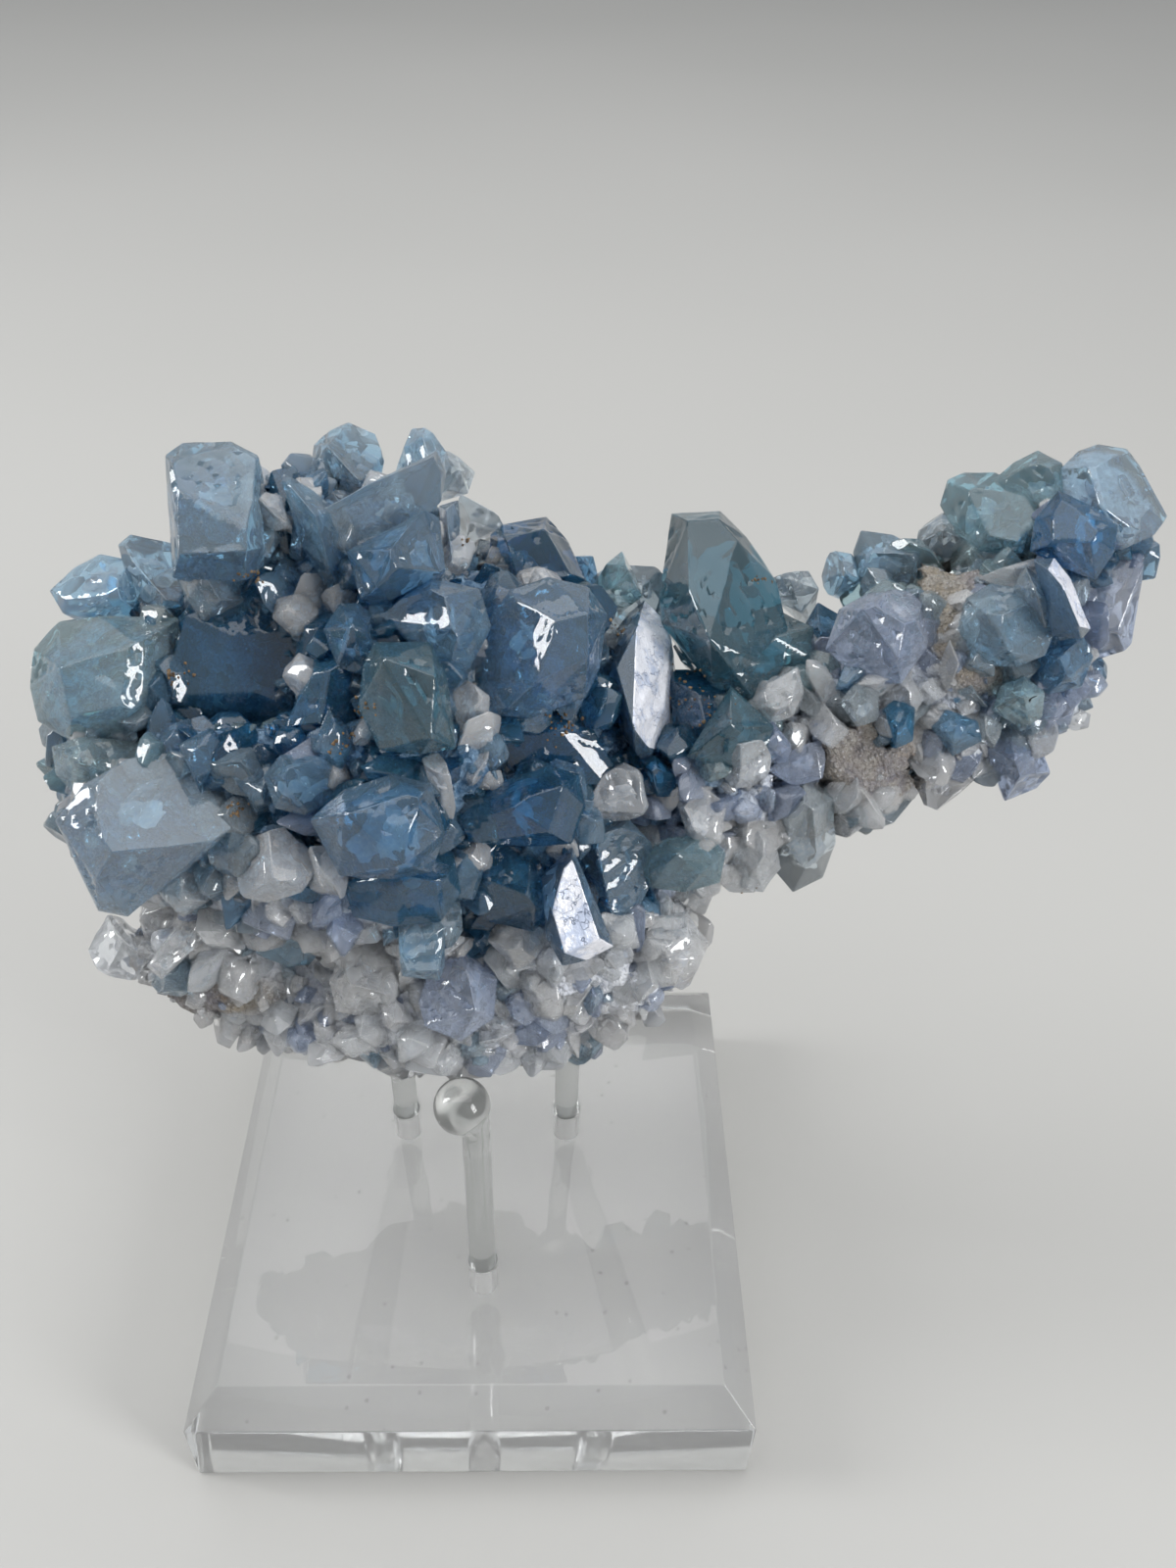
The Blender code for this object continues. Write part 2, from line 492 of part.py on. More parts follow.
def tidy_union(mesh):
    """Keep one solid without loose chips or sealed hollows, and merge nearly flat faces."""
    bm = bmesh.new()
    bm.from_mesh(mesh)
    unseen = set(bm.verts)
    largest = set()
    while unseen:
        island = {unseen.pop()}
        front = list(island)
        while front:
            vertex = front.pop()
            for edge in vertex.link_edges:
                other = edge.other_vert(vertex)
                if other in unseen:
                    unseen.discard(other)
                    island.add(other)
                    front.append(other)
        if len(island) > len(largest):
            largest = island
    strays = [vertex for vertex in bm.verts if vertex not in largest]
    bmesh.ops.delete(bm, geom=strays, context="VERTS")
    bmesh.ops.dissolve_limit(
        bm, angle_limit=math.radians(FLAT_ENOUGH_DEG), verts=bm.verts, edges=bm.edges
    )
    bmesh.ops.triangulate(bm, faces=bm.faces)
    bm.to_mesh(mesh)
    bm.free()


def make_crystal_blanks(rock, blanks):
    """Every crystal as a loose solid, gathered in one mesh."""
    rock_tree = BVHTree.FromPolygons(
        [vertex.co for vertex in rock.data.vertices],
        [face.vertices[:] for face in rock.data.polygons],
    )
    pieces = []
    for name, lift, depth, outline, ridge in CRYSTALS:
        points = traced_points(rock_tree, lift, depth, outline, ridge)
        pieces.append(hull_object("blank_" + name, points, blanks))
    rng = random.Random(SMALL_SEED)
    for spot, normal in small_crystal_spots(rock, rng):
        lean = Vector((rng.uniform(-1, 1), rng.uniform(-1, 1), rng.uniform(-1, 1)))
        axis = (normal + lean * SMALL_LEAN).normalized()
        points = small_crystal_points(rng, spot, axis)
        pieces.append(hull_object("blank_small", points, blanks))
    bm = bmesh.new()
    for piece in pieces:
        bm.from_mesh(piece.data)
        bpy.data.objects.remove(piece, do_unlink=True)
    return object_from_bmesh("crystal_blanks", bm, blanks, scale=1.0)


def add_boolean(target, operation, other, own_overlaps=False):
    step = target.modifiers.new(operation.lower(), "BOOLEAN")
    step.operation = operation
    step.solver = "EXACT"
    step.use_self = own_overlaps
    step.object = other
    other.display_type = "WIRE"
    other.hide_render = True


def ball(name, centre, radius, collection, segments=PEG_SIDES):
    bm = bmesh.new()
    bmesh.ops.create_uvsphere(
        bm, u_segments=segments, v_segments=segments // 2, radius=radius,
        matrix=Matrix.Translation(centre),
    )
    return object_from_bmesh(name, bm, collection)


def upright_cylinder(name, x, y, bottom, top, radius, collection):
    bm = bmesh.new()
    middle = Vector((x, y, (bottom + top) * 0.5))
    bmesh.ops.create_cone(
        bm, cap_ends=True, segments=PEG_SIDES, radius1=radius, radius2=radius,
        depth=top - bottom, matrix=Matrix.Translation(middle),
    )
    return object_from_bmesh(name, bm, collection)


def peg_tips():
    """Centre and radius of each peg's ball tip."""
    radius = FRONT_BALL_DIAMETER * 0.5
    tips = [("front", Vector(FRONT_BALL_AT))]
    for name, side in (("back_left", -1.0), ("back_right", 1.0)):
        tips.append((name, Vector((side * BACK_PEG_X, BACK_PEG_Y, BACK_BALL_Z[name]))))
    return tips, radius


def make_cluster(collection, blanks):
    rock = make_rock(collection)
    rock.name = "celestite_cluster"
    crystals = make_crystal_blanks(rock, blanks)
    add_boolean(rock, "UNION", crystals, own_overlaps=True)
    apply_modifiers(rock)
    tidy_union(rock.data)
    tips, radius = peg_tips()
    for name, centre in tips:
        seat = ball("seat_" + name, centre, radius + REST_GAP, blanks)
        add_boolean(rock, "DIFFERENCE", seat)
    rock.data.name = "celestite_cluster"
    return rock


def make_block(collection, blanks):
    """Clear block with a wide bevel round its top and three blind holes."""
    bm = bmesh.new()
    bmesh.ops.create_cube(bm, size=1.0)
    bmesh.ops.scale(bm, vec=(BLOCK_SIDE, BLOCK_SIDE, BLOCK_HEIGHT), verts=bm.verts)
    bmesh.ops.translate(bm, vec=(0.0, 0.0, BLOCK_HEIGHT * 0.5), verts=bm.verts)
    top_edges = [edge for edge in bm.edges if all(v.co.z > BLOCK_HEIGHT * 0.9 for v in edge.verts)]
    bmesh.ops.bevel(bm, geom=top_edges, offset=BLOCK_BEVEL, segments=1, affect="EDGES")
    block = object_from_bmesh("stand_block", bm, collection)
    radius = PEG_DIAMETER * 0.5 + PEG_CLEARANCE
    for name, (x, y) in peg_places():
        hole = upright_cylinder(
            "hole_" + name, x, y, BLOCK_HEIGHT - HOLE_DEPTH, BLOCK_HEIGHT + 1.0, radius, blanks
        )
        add_boolean(block, "DIFFERENCE", hole)
    return block


def peg_places():
    return (
        ("front", FRONT_PEG_AT),
        ("back_left", (-BACK_PEG_X, BACK_PEG_Y)),
        ("back_right", (BACK_PEG_X, BACK_PEG_Y)),
    )


def make_peg(name, place, tip, radius, collection, blanks):
    """A round rod that stands in its hole and ends in a ball, bent if the ball is aside."""
    bottom = BLOCK_HEIGHT - HOLE_DEPTH + PEG_CLEARANCE
    curve = bpy.data.curves.new("stand_peg_" + name, "CURVE")
    curve.dimensions = "3D"
    curve.bevel_depth = PEG_DIAMETER * 0.5 * MM
    curve.bevel_resolution = 2
    curve.use_fill_caps = True
    curve.resolution_u = 6
    bend = tip.z - PEG_BEND_BELOW_BALL
    corners = [Vector((*place, bottom)), Vector((*place, bend)), tip]
    spline = curve.splines.new("POLY")
    spline.points.add(len(corners) - 1)
    for point, corner in zip(spline.points, corners):
        point.co = (*(corner * MM), 1.0)
    rod = bpy.data.objects.new("stand_peg_" + name, curve)
    collection.objects.link(rod)
    graph = bpy.context.evaluated_depsgraph_get()
    mesh = bpy.data.meshes.new_from_object(rod.evaluated_get(graph))
    bpy.data.objects.remove(rod, do_unlink=True)
    bm = bmesh.new()
    bm.from_mesh(mesh)
    bmesh.ops.remove_doubles(bm, verts=bm.verts, dist=0.00001)
    peg = object_from_bmesh("stand_peg_" + name, bm, collection, scale=1.0)
    end = ball("ball_" + name, tip, radius, blanks)
    add_boolean(peg, "UNION", end)
    return peg


def set_material(made, material):
    made.data.materials.clear()
    made.data.materials.append(material)


def clear_scene():
    for item in list(bpy.data.objects):
        bpy.data.objects.remove(item, do_unlink=True)


def build():
    clear_scene()
    model = new_collection("celestite_on_stand")
    cutters = new_collection("cutters")
    cluster = make_cluster(model, cutters)
    set_material(cluster, new_material("celestite", CLUSTER_COLOUR, 0.2, 0.0))
    block = make_block(model, cutters)
    set_material(block, new_material("stand_block", CLEAR_COLOUR, 0.03, 0.0))
    places = dict(peg_places())
    tips, radius = peg_tips()
    for name, tip in tips:
        peg = make_peg(name, places[name], tip, radius, model, cutters)
        set_material(peg, new_material("stand_peg_" + name, CLEAR_COLOUR, 0.03, 0.0))


build()
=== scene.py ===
"""Celestite cluster on a clear three-peg stand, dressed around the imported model.

Lengths in the tables are millimetres; meshes are scaled to metres when made.
"""

import math
import random

import bmesh
import bpy
import numpy as np
from mathutils import Matrix, Vector, noise
from mathutils.bvhtree import BVHTree


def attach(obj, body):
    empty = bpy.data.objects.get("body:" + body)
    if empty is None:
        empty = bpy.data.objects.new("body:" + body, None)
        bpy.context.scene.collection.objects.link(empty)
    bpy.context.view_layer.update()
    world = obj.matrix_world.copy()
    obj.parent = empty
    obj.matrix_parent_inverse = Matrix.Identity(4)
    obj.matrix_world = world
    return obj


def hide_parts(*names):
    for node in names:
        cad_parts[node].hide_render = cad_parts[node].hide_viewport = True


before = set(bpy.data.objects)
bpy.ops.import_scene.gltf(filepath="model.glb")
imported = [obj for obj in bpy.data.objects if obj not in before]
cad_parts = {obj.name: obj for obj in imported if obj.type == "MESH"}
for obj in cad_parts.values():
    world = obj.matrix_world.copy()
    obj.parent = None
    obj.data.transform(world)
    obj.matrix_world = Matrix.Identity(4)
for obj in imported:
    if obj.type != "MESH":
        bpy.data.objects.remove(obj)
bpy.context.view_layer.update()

MM = 0.001

# Stand
BLOCK_SIDE = 90.0
BLOCK_HEIGHT = 20.0
BLOCK_BEVEL = 5.0
BLOCK_EDGE = 0.3
PEG_RADIUS = 2.2
PEG_CLEARANCE = 0.3
HOLE_DEPTH = 12.0
HOLE_CONE = 1.3
PEG_RING = 40
FRONT_PEG_AT = (0.7, -18.3)
FRONT_BALL_AT = (-1.0, -20.3, 65.9)
BALL_RADIUS = 4.2
PEG_BEND_BELOW_BALL = 7.5
BACK_PEG_X = 15.0
BACK_PEG_Y = 12.5
BACK_BALL_Z = {"back_left": 64.4, "back_right": 68.6}

# The eye that the crystals were measured from: place, turn and focal length
EYE_AT = Vector((11.8, -136.98, 228.03))
EYE_PITCH = 0.7078
EYE_YAW = 0.0356
EYE_ROLL = -0.0319
EYE_FOCAL_PX = 1350.37
EYE_CENTRE_PX = (600.0, 800.0)
PHOTO_HEIGHT_PX = 1600.0
SENSOR_MM = 36.0

# Rock lumps: centre in pixels, its Y in mm, and half sizes right, up and deep in mm
ROCK_LUMPS = (
    ((385, 770), 11.0, (36.0, 30.0, 22.0)),
    ((205, 770), 11.0, (20.0, 23.0, 16.0)),
    ((435, 1015), -4.5, (30.0, 12.0, 13.0)),
    ((440, 900), 8.0, (29.0, 15.0, 19.0)),
    ((250, 965), 0.0, (18.0, 10.5, 11.0)),
    ((590, 960), -1.5, (16.5, 14.5, 14.0)),
    ((330, 545), 27.0, (18.0, 9.0, 13.0)),
    ((510, 640), 21.0, (15.0, 10.0, 13.0)),
    ((725, 790), 15.0, (17.0, 15.0, 13.0)),
    ((860, 740), 21.0, (16.0, 15.0, 12.0)),
    ((960, 680), 27.0, (17.0, 17.0, 12.0)),
    ((1040, 650), 31.0, (11.0, 18.0, 11.0)),
    ((1090, 570), 35.0, (10.0, 12.0, 10.0)),
)
ROCK_VOXEL = 4.2
ROCK_KEEP = 0.3
ROCK_ROUGHNESS = 1.5
FINE_VOXEL = 1.0
FINE_GRAIN = 0.55

# Each crystal: name, colour group, lift of its outline above the rock, depth below it,
# outline in pixels, and ridge points in pixels with how far each stands out in mm
CRYSTALS = (
    ("tower", "pale", 5, 13, ((168, 465), (186, 452), (236, 450), (264, 465), (270, 560), (250, 592),
                      (176, 590)), ((180, 478, 6), (250, 476, 7), (252, 562, 6), (182, 566, 5))),
    ("tower_foot", "pale", 5, 12, ((178, 585), (200, 572), (240, 566), (258, 590), (252, 612),
                           (208, 634), (190, 612)), ((206, 590, 5), (236, 598, 6))),
    ("left_tip", "pale", 1, 12, ((50, 603), (76, 579), (102, 565), (138, 572), (146, 600), (142, 626),
                         (104, 633), (64, 626)), ((70, 600, 4), (118, 592, 6), (124, 612, 5))),
    ("left_shoulder", "pale", 2, 11, ((120, 556), (132, 545), (166, 542), (178, 560), (192, 592),
                              (190, 626), (150, 628), (132, 600)),
     ((136, 560, 4), (166, 578, 6), (176, 608, 5))),
    ("aqua_round", "aqua", 2, 16, ((30, 702), (34, 662), (60, 634), (100, 628), (152, 631), (186, 630),
                           (186, 668), (160, 722), (120, 757), (74, 758), (38, 736)),
     ((62, 680, 8), (140, 658, 8), (136, 718, 7), (72, 730, 6))),
    ("aqua_low", "aqua", 0, 10, ((52, 762), (80, 752), (140, 756), (150, 772), (102, 812), (76, 812),
                         (56, 790)), ((82, 776, 4), (122, 776, 4))),
    ("recess_plate", "deep", -6, 6, ((152, 742), (166, 702), (190, 628), (260, 602), (322, 642),
                             (326, 692), (290, 745), (215, 760)), ((240, 650, 2), (262, 722, 2))),
    ("recess_fin", "deep", -2, 12, ((290, 742), (326, 660), (348, 616), (366, 640), (368, 700),
                            (362, 742)), ((344, 640, 6), (328, 738, 3))),
    ("rear_grey", "deep", -4, 8, ((262, 545), (276, 480), (300, 474), (318, 502), (310, 548), (298, 582),
                          (268, 580)), ((290, 522, 3),)),
    ("white_shard", "white", 2, 8, ((258, 522), (268, 496), (284, 500), (300, 540), (268, 543)),
     ((274, 520, 4),)),
    ("long_plate", "mid", 1, 10, ((284, 480), (318, 499), (346, 522), (360, 560), (352, 606),
                           (332, 598), (306, 556)), ((322, 526, 5), (336, 580, 5))),
    ("top_round", "pale", 4, 13, ((316, 482), (320, 454), (336, 439), (356, 431), (384, 436), (392, 470),
                          (384, 502), (348, 508)), ((334, 456, 6), (376, 454, 6), (368, 490, 7))),
    ("top_tip", "pale", 3, 12, ((412, 456), (420, 437), (434, 430), (450, 437), (460, 458), (454, 492),
                        (420, 496)), ((432, 446, 5), (440, 480, 5))),
    ("bright_plate", "pale", 5, 12, ((330, 516), (372, 498), (412, 478), (446, 460), (456, 482),
                             (450, 512), (418, 546), (384, 561), (352, 560)),
     ((352, 520, 6), (432, 478, 8), (402, 538, 6))),
    ("blue_face", "mid", 5, 13, ((354, 562), (400, 548), (434, 520), (452, 520), (456, 580), (430, 596),
                          (398, 613), (368, 612)), ((402, 562, 7), (440, 542, 8), (386, 600, 5))),
    ("lilac_blade", "bright", 6, 14, ((448, 516), (468, 510), (470, 532), (466, 576), (450, 582)),
     ((455, 520, 7), (461, 570, 6))),
    ("pale_stone", "smoky", 1, 9, ((468, 508), (480, 481), (502, 478), (522, 492), (532, 528), (506, 540),
                          (480, 530)), ((500, 495, 4), (512, 520, 4))),
    ("pale_stone_rear", "smoky", -1, 9, ((452, 460), (468, 460), (485, 482), (478, 504), (456, 500)),
     ((468, 480, 3),)),
    ("navy_prism", "deep", 5, 14, ((500, 546), (512, 535), (558, 527), (580, 552), (598, 592),
                           (560, 600), (520, 590)),
     ((514, 548, 5), (554, 541, 7), (578, 584, 5), (530, 584, 5))),
    ("navy_rear", "mid", 0, 10, ((560, 528), (584, 535), (604, 562), (612, 592), (594, 604),
                          (572, 588)), ((586, 562, 3),)),
    ("smoky_pebble", "smoky", 2, 8, ((470, 555), (482, 548), (500, 552), (508, 570), (492, 584),
                            (474, 576)), ((488, 564, 3),)),
    ("valley_pale", "aqua", 6, 12, ((618, 576), (636, 561), (668, 561), (673, 580), (664, 602),
                            (626, 600)), ((646, 576, 4),)),
    ("valley_olive", "smoky", -1, 9, ((604, 588), (625, 575), (650, 590), (675, 578), (682, 602),
                             (672, 650), (640, 652), (616, 626)), ((650, 606, 3),)),
    ("green_prism", "teal", 6, 16, ((684, 545), (685, 524), (735, 521), (762, 548), (792, 592),
                            (804, 640), (798, 682), (768, 712), (728, 702), (675, 636),
                            (672, 610)),
     ((702, 532, 7), (703, 602, 9), (734, 530, 6), (752, 552, 6), (724, 652, 9))),
    ("green_foot", "teal", 5, 13, ((736, 660), (752, 636), (790, 620), (830, 640), (826, 668),
                           (798, 692), (768, 712), (744, 690)), ((792, 650, 5), (762, 680, 5))),
    ("bright_lozenge", "bright", 8, 15, ((615, 692), (622, 652), (641, 626), (657, 612), (676, 630),
                               (685, 652), (678, 722), (662, 764), (648, 768), (632, 742)),
     ((650, 638, 7), (629, 682, 8), (646, 744, 7))),
    ("shade_right", "deep", -1, 9, ((680, 672), (702, 664), (736, 690), (746, 722), (734, 750),
                            (712, 764), (688, 750)), ((710, 700, 3), (720, 738, 3))),
    ("clear_chip", "smoky", 3, 8, ((682, 652), (702, 645), (732, 652), (736, 672), (716, 681),
                          (692, 672)), ((706, 660, 3),)),
    ("aqua_oval", "white", 5, 12, ((752, 706), (774, 680), (796, 665), (815, 680), (821, 706),
                          (810, 730), (786, 738), (764, 726)), ((782, 696, 5), (800, 710, 5))),
    ("fan_right", "teal", 2, 11, ((700, 772), (720, 740), (746, 700), (766, 726), (790, 741),
                          (780, 771), (742, 786)), ((746, 740, 5),)),
    ("centre_plate", "mid", 5, 14, ((478, 702), (490, 642), (520, 602), (560, 588), (600, 598),
                             (620, 626), (612, 682), (598, 712), (540, 734), (490, 728)),
     ((540, 640, 7), (600, 626, 7), (600, 672, 7), (508, 712, 5))),
    ("teal_plate", "teal", 4, 13, ((365, 722), (370, 680), (382, 655), (440, 655), (456, 690),
                           (466, 764), (428, 770), (388, 766)),
     ((392, 672, 6), (444, 690, 6), (440, 754, 5))),
    ("mid_plate", "mid", 3, 12, ((388, 624), (440, 590), (490, 600), (502, 640), (480, 682),
                          (456, 692), (418, 656)), ((440, 612, 6), (468, 650, 5))),
    ("crest", "mid", 3, 11, ((330, 642), (346, 615), (366, 615), (396, 640), (402, 662), (374, 690),
                      (344, 682)), ((360, 640, 5),)),
    ("ring", "white", 1, 8, ((456, 702), (476, 690), (500, 710), (498, 741), (470, 748)),
     ((478, 716, 3),)),
    ("cave_floor", "deep", -4, 7, ((496, 750), (560, 722), (600, 716), (640, 742), (650, 772),
                           (618, 802), (560, 790), (510, 798)), ((570, 746, 2),)),
    ("navy_slab", "deep", 3, 13, ((466, 834), (500, 802), (560, 781), (592, 790), (598, 822),
                          (584, 862), (540, 864), (480, 860)),
     ((520, 820, 5), (574, 802, 5), (560, 848, 5))),
    ("white_fin", "white", 5, 12, ((430, 772), (446, 760), (457, 778), (470, 840), (454, 838)),
     ((450, 790, 6), (461, 828, 5))),
    ("great_slab", "pale", 4, 15, ((56, 838), (86, 800), (130, 775), (166, 768), (202, 786),
                           (242, 846), (200, 880), (158, 902), (130, 936), (100, 930),
                           (84, 894)), ((168, 792, 10), (190, 802, 10), (234, 844, 7),
                                        (118, 862, 9), (98, 898, 6))),
    ("striped_plate", "pale", 2, 10, ((205, 778), (230, 765), (256, 762), (272, 792), (262, 816),
                              (232, 812)), ((242, 782, 4),)),
    ("mid_round", "mid", 3, 12, ((268, 792), (286, 770), (330, 772), (352, 790), (340, 816),
                          (310, 833), (280, 825)), ((300, 790, 6), (326, 804, 5))),
    ("rust_chip", "smoky", 0, 8, ((215, 832), (236, 812), (262, 815), (276, 836), (254, 851),
                         (228, 850)), ((246, 830, 3),)),
    ("white_break", "white", 2, 11, ((222, 886), (236, 860), (286, 845), (312, 866), (324, 886),
                            (308, 911), (274, 921), (240, 914)),
     ((264, 870, 5), (292, 890, 5))),
    ("purple_slab", "mid", 5, 14, ((316, 836), (350, 806), (400, 790), (441, 800), (454, 850),
                            (440, 891), (398, 898), (346, 894)),
     ((352, 830, 6), (422, 818, 7), (412, 882, 6))),
    ("deep_left", "deep", 1, 12, ((350, 902), (400, 886), (440, 856), (463, 871), (471, 911),
                          (450, 941), (400, 946), (360, 936)), ((410, 901, 4), (442, 882, 5))),
    ("small_prism", "pale", 6, 13, ((405, 952), (413, 942), (440, 935), (454, 946), (454, 986),
                            (448, 1001), (410, 996)),
     ((415, 951, 5), (445, 946, 6), (447, 988, 5), (418, 988, 4))),
    ("pit_face", "deep", -3, 8, ((456, 946), (482, 931), (512, 941), (526, 961), (514, 986),
                         (468, 982)), ((490, 955, 2),)),
    ("deep_right", "deep", 1, 12, ((474, 906), (500, 861), (542, 865), (562, 896), (566, 931),
                           (544, 951), (500, 941)), ((520, 891, 5), (546, 924, 5))),
    ("bright_face", "bright", 8, 15, ((552, 896), (570, 876), (584, 864), (598, 900), (611, 926),
                            (626, 966), (600, 980), (574, 986), (558, 958)),
     ((576, 886, 4), (584, 878, 4), (594, 906, 4), (612, 958, 4), (576, 972, 4), (564, 930, 4))),
    ("lilac_block", "mid", 4, 13, ((590, 871), (600, 841), (641, 835), (666, 861), (668, 901),
                            (650, 936), (624, 936)), ((624, 861, 6), (646, 902, 6))),
    ("clear_break", "white", 4, 11, ((602, 816), (616, 790), (641, 775), (656, 791), (663, 821),
                            (648, 842), (614, 843)), ((636, 796, 6), (641, 824, 5))),
    ("dark_blade", "deep", 2, 10, ((652, 776), (668, 770), (689, 791), (693, 816), (670, 813)),
     ((672, 792, 4),)),
    ("pale_knot", "white", 2, 10, ((690, 822), (716, 801), (741, 821), (736, 861), (704, 866)),
     ((716, 831, 5),)),
    ("clear_knot", "white", 3, 10, ((728, 788), (746, 755), (776, 752), (791, 771), (785, 801),
                           (758, 811)), ((760, 776, 5),)),
    ("lilac_knot", "lilac", 3, 10, ((784, 788), (811, 765), (841, 755), (853, 771), (845, 796),
                           (812, 806)), ((820, 779, 5),)),
    ("teal_stripes", "aqua", 3, 11, ((650, 881), (681, 856), (721, 850), (741, 871), (735, 901),
                             (698, 911), (664, 906)), ((690, 871, 5), (716, 890, 4))),
    ("pale_lump", "white", 2, 10, ((735, 852), (761, 831), (791, 851), (796, 886), (779, 911),
                          (748, 904)), ((766, 866, 5),)),
    ("dark_lump", "smoky", 3, 12, ((788, 836), (820, 801), (850, 815), (853, 861), (840, 896),
                          (809, 911), (788, 886)), ((820, 831, 6), (830, 871, 5))),
    ("rim_lilac", "lilac", 3, 12, ((425, 1021), (440, 986), (482, 968), (508, 992), (504, 1040),
                          (470, 1063), (434, 1050)), ((466, 1000, 5), (486, 1030, 5))),
    ("rim_white", "white", 3, 11, ((335, 1001), (350, 970), (386, 961), (409, 986), (404, 1021),
                          (378, 1041), (344, 1035)), ((366, 991, 5), (390, 1010, 5))),
    ("rim_shards", "white", 3, 10, ((150, 986), (171, 950), (201, 930), (223, 926), (214, 951),
                           (189, 976), (165, 1000)), ((186, 956, 5),)),
    ("rim_left", "white", 1, 10, ((82, 936), (106, 925), (126, 951), (151, 981), (129, 1002),
                         (99, 991), (85, 966)), ((111, 961, 5),)),
    ("rim_right", "white", 3, 11, ((656, 958), (666, 935), (701, 930), (723, 961), (720, 992),
                          (698, 1011), (674, 1000)), ((691, 961, 5), (704, 986, 4))),
    ("purple_fan", "lilac", 4, 14, ((842, 662), (856, 621), (886, 605), (931, 598), (956, 621),
                           (946, 661), (920, 697), (898, 699), (868, 686)),
     ((881, 622, 7), (930, 606, 7), (916, 672, 6))),
    ("arm_pale", "aqua", 3, 13, ((959, 515), (966, 489), (984, 482), (1016, 482), (1052, 501),
                         (1063, 531), (1040, 557), (998, 560), (972, 540)),
     ((992, 501, 5), (1031, 522, 6))),
    ("arm_top", "aqua", 2, 11, ((1010, 492), (1034, 472), (1059, 459), (1084, 472), (1086, 502),
                        (1058, 532), (1030, 520)), ((1058, 482, 5), (1060, 506, 4))),
    ("arm_tip", "pale", 2, 13, ((1078, 505), (1082, 478), (1100, 460), (1120, 453), (1150, 458),
                        (1176, 491), (1198, 522), (1178, 546), (1146, 560), (1116, 553)),
     ((1110, 476, 6), (1149, 480, 7), (1164, 520, 6), (1124, 520, 6))),
    ("arm_navy", "deep", 5, 13, ((1050, 562), (1056, 530), (1080, 500), (1111, 515), (1141, 536),
                         (1138, 562), (1118, 592), (1086, 580)),
     ((1086, 522, 5), (1112, 546, 5), (1072, 556, 4))),
    ("bright_prism", "bright", 9, 15, ((1054, 570), (1076, 569), (1092, 590), (1113, 641), (1104, 652),
                             (1074, 650)), ((1070, 582, 5), (1085, 600, 6), (1101, 638, 5))),
    ("tip_body", "lilac", 2, 13, ((1100, 602), (1111, 570), (1141, 560), (1168, 576), (1156, 624),
                         (1155, 656), (1130, 682), (1108, 666)), ((1131, 601, 5), (1140, 641, 4))),
    ("arm_mid", "pale", 4, 13, ((977, 642), (986, 610), (1011, 595), (1046, 600), (1066, 620),
                        (1078, 642), (1068, 668), (1038, 681), (998, 678)),
     ((1006, 626, 6), (1051, 631, 6), (1031, 661, 5))),
    ("arm_curl", "pale", 7, 13, ((1035, 601), (1046, 577), (1064, 590), (1076, 620), (1068, 642),
                         (1048, 626)), ((1056, 601, 5),)),
    ("arm_blue", "mid", 3, 12, ((1044, 682), (1066, 655), (1106, 650), (1116, 671), (1104, 702),
                         (1070, 709)), ((1081, 671, 5), (1090, 690, 4))),
    ("arm_clear", "aqua", 3, 11, ((1012, 726), (1021, 700), (1046, 690), (1066, 706), (1064, 732),
                          (1042, 746)), ((1041, 712, 5),)),
    ("arm_lilac", "lilac", 1, 12, ((1003, 762), (1031, 750), (1061, 760), (1073, 791), (1058, 828),
                          (1028, 826)), ((1036, 776, 5), (1046, 804, 4))),
    ("arm_fang", "white", 2, 11, ((934, 806), (961, 790), (986, 789), (1004, 806), (984, 826),
                         (953, 842)), ((965, 806, 5),)),
    ("ridge_pale", "pale", 2, 10, ((897, 548), (905, 527), (941, 519), (950, 536), (934, 561),
                           (904, 562)), ((921, 541, 4),)),
    ("ridge_glassy", "smoky", 2, 10, ((934, 556), (939, 530), (962, 519), (986, 530), (990, 552),
                             (962, 566)), ((961, 541, 4),)),
    ("ridge_round", "pale", 2, 10, ((870, 564), (878, 541), (911, 545), (939, 561), (934, 591),
                            (898, 601), (874, 592)), ((891, 566, 4), (916, 576, 4))),
    ("ridge_small", "pale", 1, 9, ((822, 578), (840, 559), (869, 565), (876, 591), (848, 606),
                           (826, 600)), ((848, 580, 3),)),
    ("ridge_grey", "smoky", 1, 9, ((776, 584), (790, 569), (821, 575), (836, 601), (818, 626),
                          (790, 612)), ((806, 591, 3),)),
    ("arm_shade", "mid", 1, 9, ((818, 642), (834, 614), (859, 620), (850, 657), (836, 666)),
     ((838, 640, 4),)),
    ("arm_dark_prism", "deep", 3, 10, ((902, 722), (914, 712), (934, 722), (932, 756), (914, 764)),
     ((918, 730, 4),)),
    ("arm_chip", "mid", 2, 9, ((950, 742), (966, 724), (998, 736), (1002, 756), (972, 772)),
     ((972, 744, 4),)),
    ("neck_prism", "smoky", 3, 10, ((856, 716), (872, 698), (900, 704), (902, 734), (874, 742)),
     ((880, 716, 4),)),
)

ROOT_SHRINK = 0.75

# Small crystals that the solid model has too
SMALL_SEED = 41
SMALL_COUNT = 86
SMALL_SPACING = 7.4
SMALL_WIDTH = (5.4, 8.6)
SMALL_LENGTH = (6.5, 9.5)
SMALL_LEAN = 0.34
SMALL_FACING = -0.35
SMALL_ROOT = 0.45
RIM_ROOT = 0.66
RIM_FACING = 0.35

# Crystals that fill the gaps between the traced ones
FILL_SEED = 21
FILL_COUNT = 620
FILL_SPACING = 3.1
FILL_WIDTH = (4.4, 8.4)
FILL_RATIO = (0.9, 1.5)
FILL_LEAN = 0.8
RIM_LENGTH = 0.6
FILL_PROTOTYPES = 22
